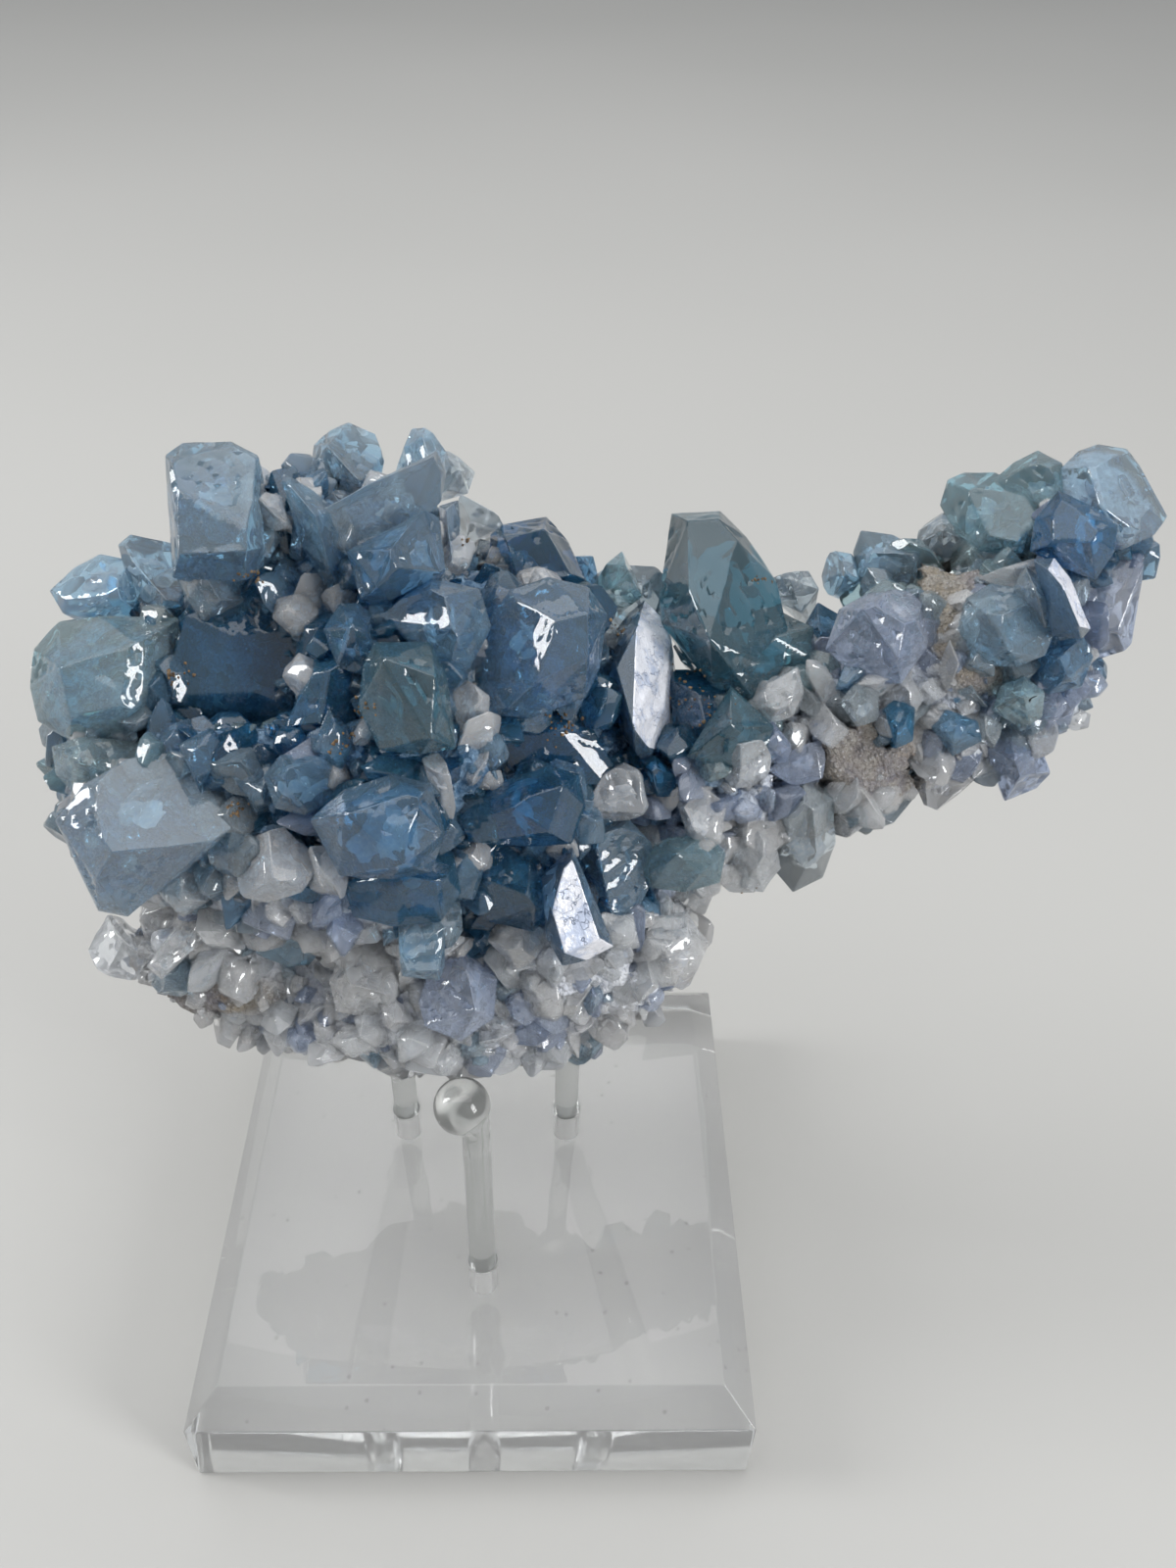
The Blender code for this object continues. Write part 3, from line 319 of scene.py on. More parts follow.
# Finer crystals: seed, how many, spacing, width range, length to width range
DRUSE = (
    (7, 620, 2.6, (2.2, 4.6), (1.0, 1.7)),
    (8, 1500, 1.3, (0.9, 2.0), (0.9, 1.5)),
)
# Places with bare rock: centre in pixels and half sizes
BARE_ROCK = (
    ((962, 585), (34, 26)),
    ((885, 775), (48, 40)),
    ((930, 800), (40, 22)),
    ((1005, 692), (28, 14)),
    ((964, 640), (12, 30)),
    ((765, 925), (32, 22)),
    ((205, 1018), (58, 17)),
    ((840, 850), (26, 22)),
)
# Places with rust-brown grains: centre in pixels, spread in pixels and number of grains
RUST = (
    ((243, 828), 9, 16), ((372, 724), 12, 14), ((575, 740), 22, 26), ((184, 690), 10, 16),
    ((257, 588), 10, 16), ((776, 592), 8, 12), ((350, 760), 14, 14), ((712, 720), 24, 22),
    ((765, 925), 26, 24), ((630, 640), 10, 8), ((474, 552), 6, 6), ((700, 690), 20, 10),
)

# Pixel line below which the rock crust is pale, and where the pale neck starts; the pale crust is partly the
# rock's own lilac-white and partly painted light standing in for floor light shining through the rim crystals
RIM_LINE_X = 430
RIM_LINE_Y = 930
RIM_LINE_BOW = 0.00045
NECK_X = 720
NECK_SHARE = 0.8
# Surface relief
FINE_EDGE = 0.85
HIDDEN_EDGE = 5.0
EDGE_BEVEL = 0.12
FADE_WIDTH = 0.9
ROCK_SINK = 0.9
ROCK_BEHIND = 2.5


def eye_axes():
    """Unit vectors of the eye: forward, right and down."""
    forward = Vector((
        math.sin(EYE_YAW) * math.cos(EYE_PITCH),
        math.cos(EYE_YAW) * math.cos(EYE_PITCH),
        -math.sin(EYE_PITCH),
    ))
    level_right = Vector((math.cos(EYE_YAW), -math.sin(EYE_YAW), 0.0))
    level_down = forward.cross(level_right)
    right = level_right * math.cos(EYE_ROLL) + level_down * math.sin(EYE_ROLL)
    down = -level_right * math.sin(EYE_ROLL) + level_down * math.cos(EYE_ROLL)
    return forward, right, down


FORWARD, RIGHT, DOWN = eye_axes()


def sight(pixel_x, pixel_y):
    """Direction from the eye through a pixel."""
    across = pixel_x - EYE_CENTRE_PX[0]
    below = pixel_y - EYE_CENTRE_PX[1]
    return (FORWARD * EYE_FOCAL_PX + RIGHT * across + DOWN * below).normalized()


def pixel_of(point):
    offset = point - EYE_AT
    depth = offset.dot(FORWARD)
    across = EYE_CENTRE_PX[0] + EYE_FOCAL_PX * offset.dot(RIGHT) / depth
    below = EYE_CENTRE_PX[1] + EYE_FOCAL_PX * offset.dot(DOWN) / depth
    return across, below


def point_at_depth(pixel_x, pixel_y, y):
    direction = sight(pixel_x, pixel_y)
    return EYE_AT + direction * ((y - EYE_AT.y) / direction.y)


def point_on_plane(pixel_x, pixel_y, origin, normal):
    direction = sight(pixel_x, pixel_y)
    return EYE_AT + direction * ((origin - EYE_AT).dot(normal) / direction.dot(normal))


def link(name, mesh):
    made = bpy.data.objects.new(name, mesh)
    bpy.context.scene.collection.objects.link(made)
    return made


def object_from_bmesh(name, bm, scale=MM):
    mesh = bpy.data.meshes.new(name)
    bm.transform(Matrix.Scale(scale, 4))
    bmesh.ops.recalc_face_normals(bm, faces=bm.faces)
    bm.to_mesh(mesh)
    bm.free()
    return link(name, mesh)


def apply_modifiers(made):
    graph = bpy.context.evaluated_depsgraph_get()
    mesh = bpy.data.meshes.new_from_object(made.evaluated_get(graph))
    made.modifiers.clear()
    made.data = mesh
    return made


def discard(made):
    bpy.data.objects.remove(made, do_unlink=True)


def rock_blank(voxel, name):
    """Joined egg shapes as one remeshed and softened lump."""
    bm = bmesh.new()
    for (pixel_x, pixel_y), y, (half_right, half_up, half_deep) in ROCK_LUMPS:
        centre = point_at_depth(pixel_x, pixel_y, y)
        axes = Matrix((RIGHT * half_right, -DOWN * half_up, FORWARD * half_deep)).transposed()
        place = Matrix.Translation(centre) @ axes.to_4x4()
        bmesh.ops.create_icosphere(bm, subdivisions=4, radius=1.0, matrix=place)
    rock = object_from_bmesh(name, bm)
    remesh = rock.modifiers.new("join", "REMESH")
    remesh.mode = "VOXEL"
    remesh.voxel_size = voxel * MM
    smooth = rock.modifiers.new("soften", "SMOOTH")
    smooth.factor = 0.5
    smooth.iterations = 3 if voxel > 2.0 else 24
    return apply_modifiers(rock)


def broad_push(place):
    return (noise.noise(place * 0.07) * 2.0 + noise.noise(place * 0.19)) * ROCK_ROUGHNESS


def make_coarse_rock():
    """The same facets of rock that the solid model has, to set the crystals on."""
    rock = rock_blank(ROCK_VOXEL, "rock_coarse")
    for vertex in rock.data.vertices:
        vertex.co += vertex.normal * broad_push(vertex.co / MM) * MM
    decimate = rock.modifiers.new("facets", "DECIMATE")
    decimate.ratio = ROCK_KEEP
    return apply_modifiers(rock)


def bareness(pixel):
    """1 in the middle of a patch of bare rock, 0 well outside all of them."""
    best = 0.0
    for (centre_x, centre_y), (half_x, half_y) in BARE_ROCK:
        reach = math.hypot((pixel[0] - centre_x) / half_x, (pixel[1] - centre_y) / half_y)
        best = max(best, min(1.0, 2.0 - reach))
    return best


def hidden_depth(place, sight_line, trees):
    """How far a spot of rock has to go back to lie behind the crystal in front of it."""
    reach = (place - EYE_AT).length
    nearest = None
    for tree in trees:
        found = tree.ray_cast(EYE_AT * MM, sight_line)
        if found[0] is not None and (nearest is None or found[3] / MM < nearest):
            nearest = found[3] / MM
    if nearest is None or reach < nearest - 14.0 or reach > nearest + ROCK_BEHIND:
        return 0.0
    return nearest + ROCK_BEHIND - reach


def rim_share(pixel):
    """1 on the rim and neck of the cluster, where the rock crust is made pale (partly its own colour, partly
    painted light), 0 among the blue crystals.
    """
    rim_y = RIM_LINE_Y - RIM_LINE_BOW * (pixel[0] - RIM_LINE_X) ** 2
    low = min(1.0, max(0.0, (pixel[1] - rim_y) / 40.0 + 0.5))
    neck = min(1.0, max(0.0, (pixel[0] - NECK_X) / 60.0))
    return max(low, neck * NECK_SHARE)


def make_fine_rock(trees):
    """Granular rock with small ledges and pits, sunk under the crystals."""
    rock = rock_blank(FINE_VOXEL, "matrix_rock")
    mesh = rock.data
    spots = np.empty(len(mesh.vertices) * 3)
    mesh.vertices.foreach_get("co", spots)
    normals = np.empty(len(mesh.vertices) * 3)
    mesh.vertex_normals.foreach_get("vector", normals)
    spots = spots.reshape(-1, 3) / MM
    normals = normals.reshape(-1, 3)
    bareness_of = np.ones(len(spots))
    rim_of = np.zeros(len(spots))
    for index, row in enumerate(spots):
        place = Vector(row)
        normal = Vector(normals[index])
        push = broad_push(place)
        ledge = place.z * 0.35 + place.y * 0.12 + noise.noise(place * 0.09) * 1.6
        push += (ledge - math.floor(ledge)) ** 2 * 0.7 - 0.5
        grain = noise.noise(place * 0.55) + 0.6 * noise.noise(place * 1.3)
        push += grain * FINE_GRAIN
        place += normal * push
        sight_line = (place - EYE_AT).normalized()
        if normal.dot(sight_line) < 0.15:
            bareness_of[index] = bareness(pixel_of(place))
            rim_of[index] = rim_share(pixel_of(place))
            place -= normal * ROCK_SINK * (1.0 - bareness_of[index])
            place += sight_line * hidden_depth(place, sight_line, trees)
        spots[index] = place
    mesh.vertices.foreach_set("co", (spots * MM).ravel())
    bare = mesh.attributes.new("bare", "FLOAT", "POINT")
    bare.data.foreach_set("value", bareness_of)
    rim = mesh.attributes.new("rim", "FLOAT", "POINT")
    rim.data.foreach_set("value", rim_of)
    mesh.update()
    mesh.shade_smooth()
    return rock


class Pile:
    """Gathers many closed pieces into one mesh: a tone and grain per corner, and per face whether it carries the
    painted sheen.
    """

    def __init__(self):
        self.points = []
        self.faces = []
        self.tones = []
        self.grains = []
        self.painted_glints = []
        self.count = 0

    def add(self, points, faces, tone, grain, painted_glint=None):
        self.points.append(points)
        self.faces.append(faces + self.count)
        self.tones.append(np.full(len(points), tone))
        self.grains.append(grain)
        self.painted_glints.append(np.zeros(len(faces), dtype=np.int32) if painted_glint is None else painted_glint)
        self.count += len(points)

    def make(self, name, sharp_deg=32.0):
        points = np.concatenate(self.points) * MM
        faces = np.concatenate(self.faces)
        mesh = bpy.data.meshes.new(name)
        mesh.vertices.add(len(points))
        mesh.vertices.foreach_set("co", points.ravel())
        mesh.loops.add(faces.size)
        mesh.loops.foreach_set("vertex_index", faces.ravel().astype(np.int32))
        mesh.polygons.add(len(faces))
        mesh.polygons.foreach_set("loop_start", np.arange(0, faces.size, 3, dtype=np.int32))
        mesh.polygons.foreach_set("loop_total", np.full(len(faces), 3, dtype=np.int32))
        mesh.update(calc_edges=True)
        tone = mesh.attributes.new("tone", "FLOAT", "POINT")
        tone.data.foreach_set("value", np.concatenate(self.tones).astype(np.float32))
        grain = mesh.attributes.new("grain", "FLOAT_VECTOR", "POINT")
        grain.data.foreach_set("vector", np.concatenate(self.grains).astype(np.float32).ravel())
        # Faces marked 1 take the second material, the painted sheen.
        mesh.polygons.foreach_set("material_index", np.concatenate(self.painted_glints))
        mesh.shade_smooth()
        mesh.set_sharp_from_angle(angle=math.radians(sharp_deg))
        return link(name, mesh)


def hull_bmesh(points):
    """Convex solid round some points, with nearly flat faces merged."""
    bm = bmesh.new()
    for point in points:
        bm.verts.new(point)
    bmesh.ops.remove_doubles(bm, verts=bm.verts, dist=0.35)
    result = bmesh.ops.convex_hull(bm, input=bm.verts)
    inside = [v for v in result["geom_interior"] if isinstance(v, bmesh.types.BMVert)]
    bmesh.ops.delete(bm, geom=inside, context="VERTS")
    return bm


def chip_corners(points, centre, facing, rng, count, size):
    """Slice a few outer corners off a convex solid, as breaks and small faces do."""
    rough = hull_bmesh(points)
    bm = hull_bmesh([v.co.copy() for v in rough.verts])
    rough.free()
    for _ in range(count):
        outer = [v for v in bm.verts if (v.co - centre).dot(facing) > -1.0]
        if not outer:
            break
        corner = rng.choice(outer).co.copy()
        jitter = Vector((rng.uniform(-1, 1), rng.uniform(-1, 1), rng.uniform(-1, 1)))
        normal = ((corner - centre).normalized() + jitter * 0.45).normalized()
        plane = corner - normal * rng.uniform(*size)
        everything = bm.verts[:] + bm.edges[:] + bm.faces[:]
        bmesh.ops.bisect_plane(
            bm, geom=everything, plane_co=plane, plane_no=normal, clear_outer=True
        )
        kept = [v.co.copy() for v in bm.verts]
        if len(kept) < 8:
            break
        bm.free()
        bm = hull_bmesh(kept)
    return bm


def in_fixed_order(bm, marked=()):
    """The same solid, its points and faces sorted by place, and the copies of the marked faces."""
    points = sorted(bm.verts, key=lambda v: v.co[:])
    rank = {vertex: index for index, vertex in enumerate(points)}
    loops = []
    for face in bm.faces:
        loop = [rank[v] for v in face.verts]
        first = loop.index(min(loop))
        loops.append((loop[first:] + loop[:first], face in marked))
    loops.sort()
    ordered = bmesh.new()
    corners = [ordered.verts.new(v.co) for v in points]
    copies = set()
    for loop, is_marked in loops:
        face = ordered.faces.new([corners[index] for index in loop])
        if is_marked:
            copies.add(face)
    bm.free()
    ordered.normal_update()
    return ordered, copies


def local_axes(points, axis):
    """A frame with its third axis along the given one."""
    side = axis.orthogonal().normalized()
    return side, axis.cross(side)


def relief_depth(kind, spots, normal, corner, direction, rng_shift):
    """How far each spot of a face lies below its plane, in mm."""
    depth = np.zeros(len(spots))
    for index, spot in enumerate(spots):
        place = Vector(spot) + rng_shift
        if kind == "flat":
            value = 0.05 + 0.05 * noise.noise(place * 0.5)
        elif kind == "wavy":
            value = 0.2 + 0.22 * noise.noise(place * 0.22) + 0.06 * noise.noise(place * 0.8)
        elif kind == "steps":
            run = place.dot(direction) * 0.36 + 1.1 * noise.noise(place * 0.11)
            part = run - math.floor(run)
            value = 0.52 * part * part + 0.06 * noise.noise(place * 0.9)
        elif kind == "shell":
            run = (Vector(spot) - corner).length * 0.42 + 0.7 * noise.noise(place * 0.13)
            part = run - math.floor(run)
            value = 0.42 * part ** 1.6 + 0.2 * noise.noise(place * 0.2)
        else:
            value = 0.35 * max(0.0, noise.noise(place * 0.33)) + 0.3 * abs(noise.noise(place * 0.8))
        depth[index] = max(0.0, value)
    return depth


def refined_crystal(bm, rng, axis, kinds, toward, edge_length, bevel, waviness, alike=0.8):
    """Bevel, subdivide and carve a convex solid; gives points, faces and a mask of the faces that get the painted
    sheen.
    """
    bmesh.ops.dissolve_limit(
        bm, angle_limit=math.radians(2.5), verts=bm.verts, edges=bm.edges
    )
    bmesh.ops.recalc_face_normals(bm, faces=bm.faces)
    bm, _ = in_fixed_order(bm)
    result = bmesh.ops.bevel(
        bm, geom=bm.edges[:], offset=bevel, segments=1, profile=0.5, affect="EDGES",
        clamp_overlap=True,
    )
    bm, worn = in_fixed_order(bm, set(result["faces"]))
    layer = bm.faces.layers.int.new("facet")
    facets = []
    for face in bm.faces:
        if face in worn or len(face.verts) < 3:
            face[layer] = 0
        else:
            facets.append((face.normal.copy(), [v.co.copy() for v in face.verts]))
            face[layer] = len(facets)
    bmesh.ops.triangulate(bm, faces=bm.faces)
    for _ in range(6):
        long_edges = []
        for edge in bm.edges:
            shown = any(face.normal.dot(toward) > -0.25 for face in edge.link_faces)
            if edge.calc_length() > (edge_length if shown else HIDDEN_EDGE) * 1.35:
                long_edges.append(edge)
        if not long_edges:
            break
        bmesh.ops.subdivide_edges(bm, edges=long_edges, cuts=1, use_grid_fill=True)
        bmesh.ops.triangulate(bm, faces=[f for f in bm.faces if len(f.verts) > 3])
    bm.verts.index_update()
    points = np.array([v.co[:] for v in bm.verts])
    label = np.zeros(len(points), dtype=int)
    for vertex in bm.verts:
        around = {face[layer] for face in vertex.link_faces}
        label[vertex.index] = around.pop() if len(around) == 1 else 0
    faces = np.array([[v.index for v in face.verts] for face in bm.faces])
    facet_of = np.array([face[layer] for face in bm.faces])
    bm.free()
    shift = Vector((rng.uniform(-90, 90), rng.uniform(-90, 90), rng.uniform(-90, 90)))
    for number, (normal, corners) in enumerate(facets, start=1):
        chosen = np.nonzero(label == number)[0]
        if not len(chosen) or normal.dot(toward) < -0.3:
            continue
        spots = points[chosen]
        inset = np.full(len(chosen), 99.0)
        for index, corner in enumerate(corners):
            before = corners[index - 1]
            along = (corner - before)
            if along.length < 1e-6:
                continue
            inward = np.array(normal.cross(along.normalized())[:])
            inset = np.minimum(inset, np.abs((spots - np.array(before[:])) @ inward))
        fade = np.clip(inset / FADE_WIDTH, 0.0, 1.0)
        fade = fade * fade * (3.0 - 2.0 * fade)
        kind = rng.choice(kinds)
        turn = Matrix.Rotation(rng.choice((0.0, 0.35, 1.2)), 3, normal)
        direction = (turn @ normal.cross(axis))
        if direction.length < 0.1:
            direction = normal.orthogonal()
        direction.normalize()
        corner = rng.choice(corners)
        depth = relief_depth(kind, spots, normal, corner, direction, shift)
        points[chosen] = spots - np.array(normal[:]) * (depth * fade)[:, None]
    if waviness:
        for index in range(len(points)):
            place = Vector(points[index]) * 0.3 + shift
            points[index] += np.array(noise.noise_vector(place)[:]) * waviness
    # Painted glint: the largest face turned to the eye, and faces turned nearly the same way, get the painted
    # sheen material.
    painted_glint = np.zeros(len(faces), dtype=np.int32)
    best = max(facets, key=lambda facet: facet[0].dot(toward) * polygon_size(facet[1]))
    for number, (normal, _) in enumerate(facets, start=1):
        if normal.dot(best[0]) > alike:
            painted_glint[facet_of == number] = 1
    return points, faces, painted_glint


def polygon_size(corners):
    total = Vector()
    for index, corner in enumerate(corners):
        total += corners[index - 1].cross(corner)
    return total.length * 0.5


def grain_frame(points, axis, rng):
    """Each corner's place in the crystal's own frame, along and across its axis."""
    side, across = local_axes(points, axis)
    frame_rows = np.array([side[:], across[:], axis[:]])
    shift = np.array([rng.uniform(-80, 80), rng.uniform(-80, 80), rng.uniform(-80, 80)])
    return points @ frame_rows.T + shift


def traced_points(rock_tree, lift, depth, outline, ridge):
    """Corner points of a crystal whose outline and ridges were measured as pixels."""
    middle_x = sum(pixel[0] for pixel in outline) / len(outline)
    middle_y = sum(pixel[1] for pixel in outline) / len(outline)
    direction = sight(middle_x, middle_y)
    spot, normal, _, _ = rock_tree.ray_cast(EYE_AT * MM, direction)
    if spot is None:
        near_line = min(
            (rock_tree.find_nearest((EYE_AT + direction * reach) * MM) for reach in range(200, 330, 3)),
            key=lambda found: found[3],
        )
        spot, normal = near_line[0], near_line[1]
    spot = spot / MM
    facing = (normal * 0.4 - direction * 0.6).normalized()
    base = spot + facing * lift
    points = []
    for pixel_x, pixel_y in outline:
        points.append(point_on_plane(pixel_x, pixel_y, base, facing))
    middle = sum(points, Vector()) / len(points)
    for corner in points[::2]:
        points.append(middle + (corner - middle) * ROOT_SHRINK - facing * depth)
    for pixel_x, pixel_y, rise in ridge:
        points.append(point_on_plane(pixel_x, pixel_y, base + facing * rise, facing))
    return points, base, facing


def long_axis(outline, base, facing):
    """Direction in which an outline is longest, in space."""
    corners = [point_on_plane(x, y, base, facing) for x, y in outline]
    pair = max(
        ((a, b) for a in corners for b in corners), key=lambda ends: (ends[0] - ends[1]).length
    )
    return (pair[0] - pair[1]).normalized()


def inside_outline(pixel_x, pixel_y, outline):
    inside = False
    for index, (x1, y1) in enumerate(outline):
        x2, y2 = outline[index - 1]
        if (y1 > pixel_y) != (y2 > pixel_y):
            crossing = x1 + (pixel_y - y1) * (x2 - x1) / (y2 - y1)
            if pixel_x < crossing:
                inside = not inside
    return inside


def in_bare_rock(pixel):
    for (x, y), (half_x, half_y) in BARE_ROCK:
        if ((pixel[0] - x) / half_x) ** 2 + ((pixel[1] - y) / half_y) ** 2 < 1.0:
            return True
    return False


def small_crystal_points(rng, spot, axis):
    """Corner points of a short four-sided crystal with a two-faced tip."""
    side = axis.orthogonal().normalized()
    side.rotate(Matrix.Rotation(rng.uniform(0.0, math.tau), 3, axis))
    across = axis.cross(side)
    width = rng.uniform(*SMALL_WIDTH) * 0.5
    breadth = width * rng.uniform(0.6, 1.0)
    length = rng.uniform(*SMALL_LENGTH)
    shoulder = length * rng.uniform(0.45, 0.7)
    at_rim = axis.dot((EYE_AT - spot).normalized()) < RIM_FACING
    foot = spot - axis * length * (RIM_ROOT if at_rim else SMALL_ROOT)
    points = []
    for level in (0.0, shoulder):
        for step_side, step_across in ((1, 0.4), (-0.3, 1), (-1, -0.4), (0.3, -1)):
            offset = side * width * step_side + across * breadth * step_across
            points.append(foot + axis * level + offset)
    points.append(foot + axis * length + side * width * 0.45)
    points.append(foot + axis * length * rng.uniform(0.9, 1.0) - side * width * 0.4)
    return points


def surface_spots(mesh, rng, wanted, spacing, tries, accept):
    """Random places on a mesh, at least the given spacing apart."""
    faces = list(mesh.polygons)
    areas = [face.area for face in faces]
    spots = []
    cells = {}
    for _ in range(tries):
        face = rng.choices(faces, areas)[0] if wanted < 200 else None
        if face is None:
            face = faces[next_weighted(rng, areas)]
        corners = [mesh.vertices[index].co / MM for index in face.vertices]
        first, second = rng.random(), rng.random()
        if first + second > 1.0:
            first, second = 1.0 - first, 1.0 - second
        spot = corners[0] + (corners[1] - corners[0]) * first + (corners[2] - corners[0]) * second
        normal = Vector(face.normal)
        if not accept(spot, normal, spots):
            continue
        cell = tuple(int(math.floor(value / spacing)) for value in spot)
        if wanted >= 200 and crowded(cells, cell, spot, spacing):
            continue
        cells.setdefault(cell, []).append(spot)
        spots.append((spot, normal))
        if len(spots) == wanted:
            break
    return spots


WEIGHTS = {}


def next_weighted(rng, areas):
    """Index drawn in proportion to area, from a running sum kept per mesh."""
    key = len(areas)
    if key not in WEIGHTS:
        WEIGHTS[key] = np.cumsum(areas)
    sums = WEIGHTS[key]
    return min(int(np.searchsorted(sums, rng.random() * sums[-1])), len(areas) - 1)


def crowded(cells, cell, spot, spacing):
    for step_x in (-1, 0, 1):
        for step_y in (-1, 0, 1):
            for step_z in (-1, 0, 1):
                near = cells.get((cell[0] + step_x, cell[1] + step_y, cell[2] + step_z), ())
                if any((spot - other).length < spacing for other in near):
                    return True
    return False


def habit_prototypes(count, seed, bevel):
    """Small crystals of unit width: flat tables and prisms cut by slanting end faces."""
    rng = random.Random(seed)
    made = []
    for _ in range(count):
        breadth = rng.uniform(0.45, 0.95)
        points = []
        for level, share in ((0.0, 0.85), (rng.uniform(0.35, 0.75), 1.0)):
            for step_side, step_across in ((1, 0.35), (0.5, 0.9), (-0.5, 0.9), (-1, 0.3),
                                           (-0.6, -0.9), (0.4, -0.95)):
                points.append(Vector((
                    step_side * 0.5 * share * rng.uniform(0.9, 1.0),
                    step_across * 0.5 * breadth * share * rng.uniform(0.9, 1.0),
                    level,
                )))
        tip = rng.uniform(0.25, 0.5)
        points.append(Vector((tip, rng.uniform(-0.1, 0.1), 1.0)))
        points.append(Vector((-tip * rng.uniform(0.3, 1.0), rng.uniform(-0.1, 0.1),
                              rng.uniform(0.85, 1.0))))
        scaled = [point * 10.0 for point in points]
        bm = chip_corners(scaled, Vector((0, 0, 4)), Vector((0, 0, 1)), rng, 2, (0.6, 1.8))
        bmesh.ops.dissolve_limit(
            bm, angle_limit=math.radians(3.0), verts=bm.verts, edges=bm.edges
        )
        bmesh.ops.recalc_face_normals(bm, faces=bm.faces)
        bm, _ = in_fixed_order(bm)
        if bevel:
            bmesh.ops.bevel(
                bm, geom=bm.edges[:], offset=bevel * 10.0, segments=1, profile=0.5,
                affect="EDGES", clamp_overlap=True,
            )
        bm, _ = in_fixed_order(bm)
        bmesh.ops.triangulate(bm, faces=bm.faces)
        bm.verts.index_update()
        corners = np.array([v.co[:] for v in bm.verts]) / 10.0
        faces = np.array([[v.index for v in face.verts] for face in bm.faces])
        bm.free()
        made.append((corners, faces))
    return made


def place_prototype(prototype, spot, axis, width, length, rng):
    corners, faces = prototype
    side = axis.orthogonal().normalized()
    side.rotate(Matrix.Rotation(rng.uniform(0.0, math.tau), 3, axis))
    across = axis.cross(side)
    rows = np.array([side[:], across[:], axis[:]])
    sized = corners * np.array([width, width, length]) - np.array([0, 0, length * 0.42])
    return sized @ rows + np.array(spot[:]), faces
class Graph:
    """Short calls for wiring a material's nodes."""

    def __init__(self, name):
        self.material = bpy.data.materials.new(name)
        self.material.use_nodes = True
        self.nodes = self.material.node_tree.nodes
        self.links = self.material.node_tree.links
        self.nodes.clear()
        self.output = self.nodes.new("ShaderNodeOutputMaterial")
        self.shader = self.nodes.new("ShaderNodeBsdfPrincipled")
        self.links.new(self.shader.outputs["BSDF"], self.output.inputs["Surface"])

    def put(self, target, value):
        if isinstance(value, bpy.types.NodeSocket):
            self.links.new(value, target)
        else:
            target.default_value = value

    def attribute(self, name, output="Fac"):
        node = self.nodes.new("ShaderNodeAttribute")
        node.attribute_name = name
        return node.outputs[output]

    def object_mm(self):
        """Place on the object in millimetres."""
        coords = self.nodes.new("ShaderNodeTexCoord")
        return self.vector("MULTIPLY", coords.outputs["Object"], (1000.0, 1000.0, 1000.0))

    def vector(self, operation, first, second):
        node = self.nodes.new("ShaderNodeVectorMath")
        node.operation = operation
        self.put(node.inputs[0], first)
        self.put(node.inputs[1], second)
        return node.outputs["Vector"]

    def math(self, operation, first, second=0.0, clamp=False):
        node = self.nodes.new("ShaderNodeMath")
        node.operation = operation
        node.use_clamp = clamp
        self.put(node.inputs[0], first)
        self.put(node.inputs[1], second)
        return node.outputs["Value"]

    def noise(self, where, scale, detail=3.0, roughness=0.5, distortion=0.0):
        node = self.nodes.new("ShaderNodeTexNoise")
        self.put(node.inputs["Vector"], where)
        node.inputs["Scale"].default_value = scale
        node.inputs["Detail"].default_value = detail
        node.inputs["Roughness"].default_value = roughness
        node.inputs["Distortion"].default_value = distortion
        return node.outputs["Fac"]

    def wave(self, where, form, scale, distortion):
        """Saw-toothed lines or rings, bent by noise."""
        node = self.nodes.new("ShaderNodeTexWave")
        node.wave_type = form
        node.wave_profile = "SAW"
        self.put(node.inputs["Vector"], where)
        node.inputs["Scale"].default_value = scale
        node.inputs["Distortion"].default_value = distortion
        node.inputs["Detail"].default_value = 1.0
        node.inputs["Detail Scale"].default_value = 0.6
        return node.outputs["Fac"]

    def scaled_colour_noise(self, where, scale, reach):
        """A wandering offset of up to the given reach."""
        node = self.nodes.new("ShaderNodeTexNoise")
        self.put(node.inputs["Vector"], where)
        node.inputs["Scale"].default_value = scale
        offset = self.vector("SUBTRACT", node.outputs["Color"], (0.5, 0.5, 0.5))
        return self.vector("MULTIPLY", offset, (reach * 2, reach * 2, reach * 2))

    def cells(self, where, scale, feature="F1", output="Distance"):
        node = self.nodes.new("ShaderNodeTexVoronoi")
        node.feature = feature
        self.put(node.inputs["Vector"], where)
        node.inputs["Scale"].default_value = scale
        return node.outputs[output]

    def ramp(self, value, low, high, start=0.0, end=1.0):
        node = self.nodes.new("ShaderNodeMapRange")
        node.interpolation_type = "SMOOTHSTEP"
        self.put(node.inputs["Value"], value)
        node.inputs["From Min"].default_value = low
        node.inputs["From Max"].default_value = high
        node.inputs["To Min"].default_value = start
        node.inputs["To Max"].default_value = end
        return node.outputs["Result"]

    def mix(self, share, first, second, blend="MIX"):
        node = self.nodes.new("ShaderNodeMix")
        node.data_type = "RGBA"
        node.blend_type = blend
        self.put(node.inputs["Factor"], share)
        self.put(node.inputs["A"], first)
        self.put(node.inputs["B"], second)
        return [out for out in node.outputs if out.type == "RGBA"][0]

    def bump(self, height, strength, distance, below=None):
        node = self.nodes.new("ShaderNodeBump")
        node.inputs["Strength"].default_value = strength
        node.inputs["Distance"].default_value = distance
        self.put(node.inputs["Height"], height)
        if below is not None:
            self.links.new(below, node.inputs["Normal"])
        return node.outputs["Normal"]

    def absorb(self, colour, density):
        node = self.nodes.new("ShaderNodeVolumeAbsorption")
        node.inputs["Color"].default_value = colour
        node.inputs["Density"].default_value = density
        self.links.new(node.outputs["Volume"], self.output.inputs["Volume"])


def rgb(red, green, blue):
    return (red, green, blue, 1.0)


FROST = rgb(0.84, 0.88, 0.93)
RUST_COLOUR = rgb(0.23, 0.12, 0.05)

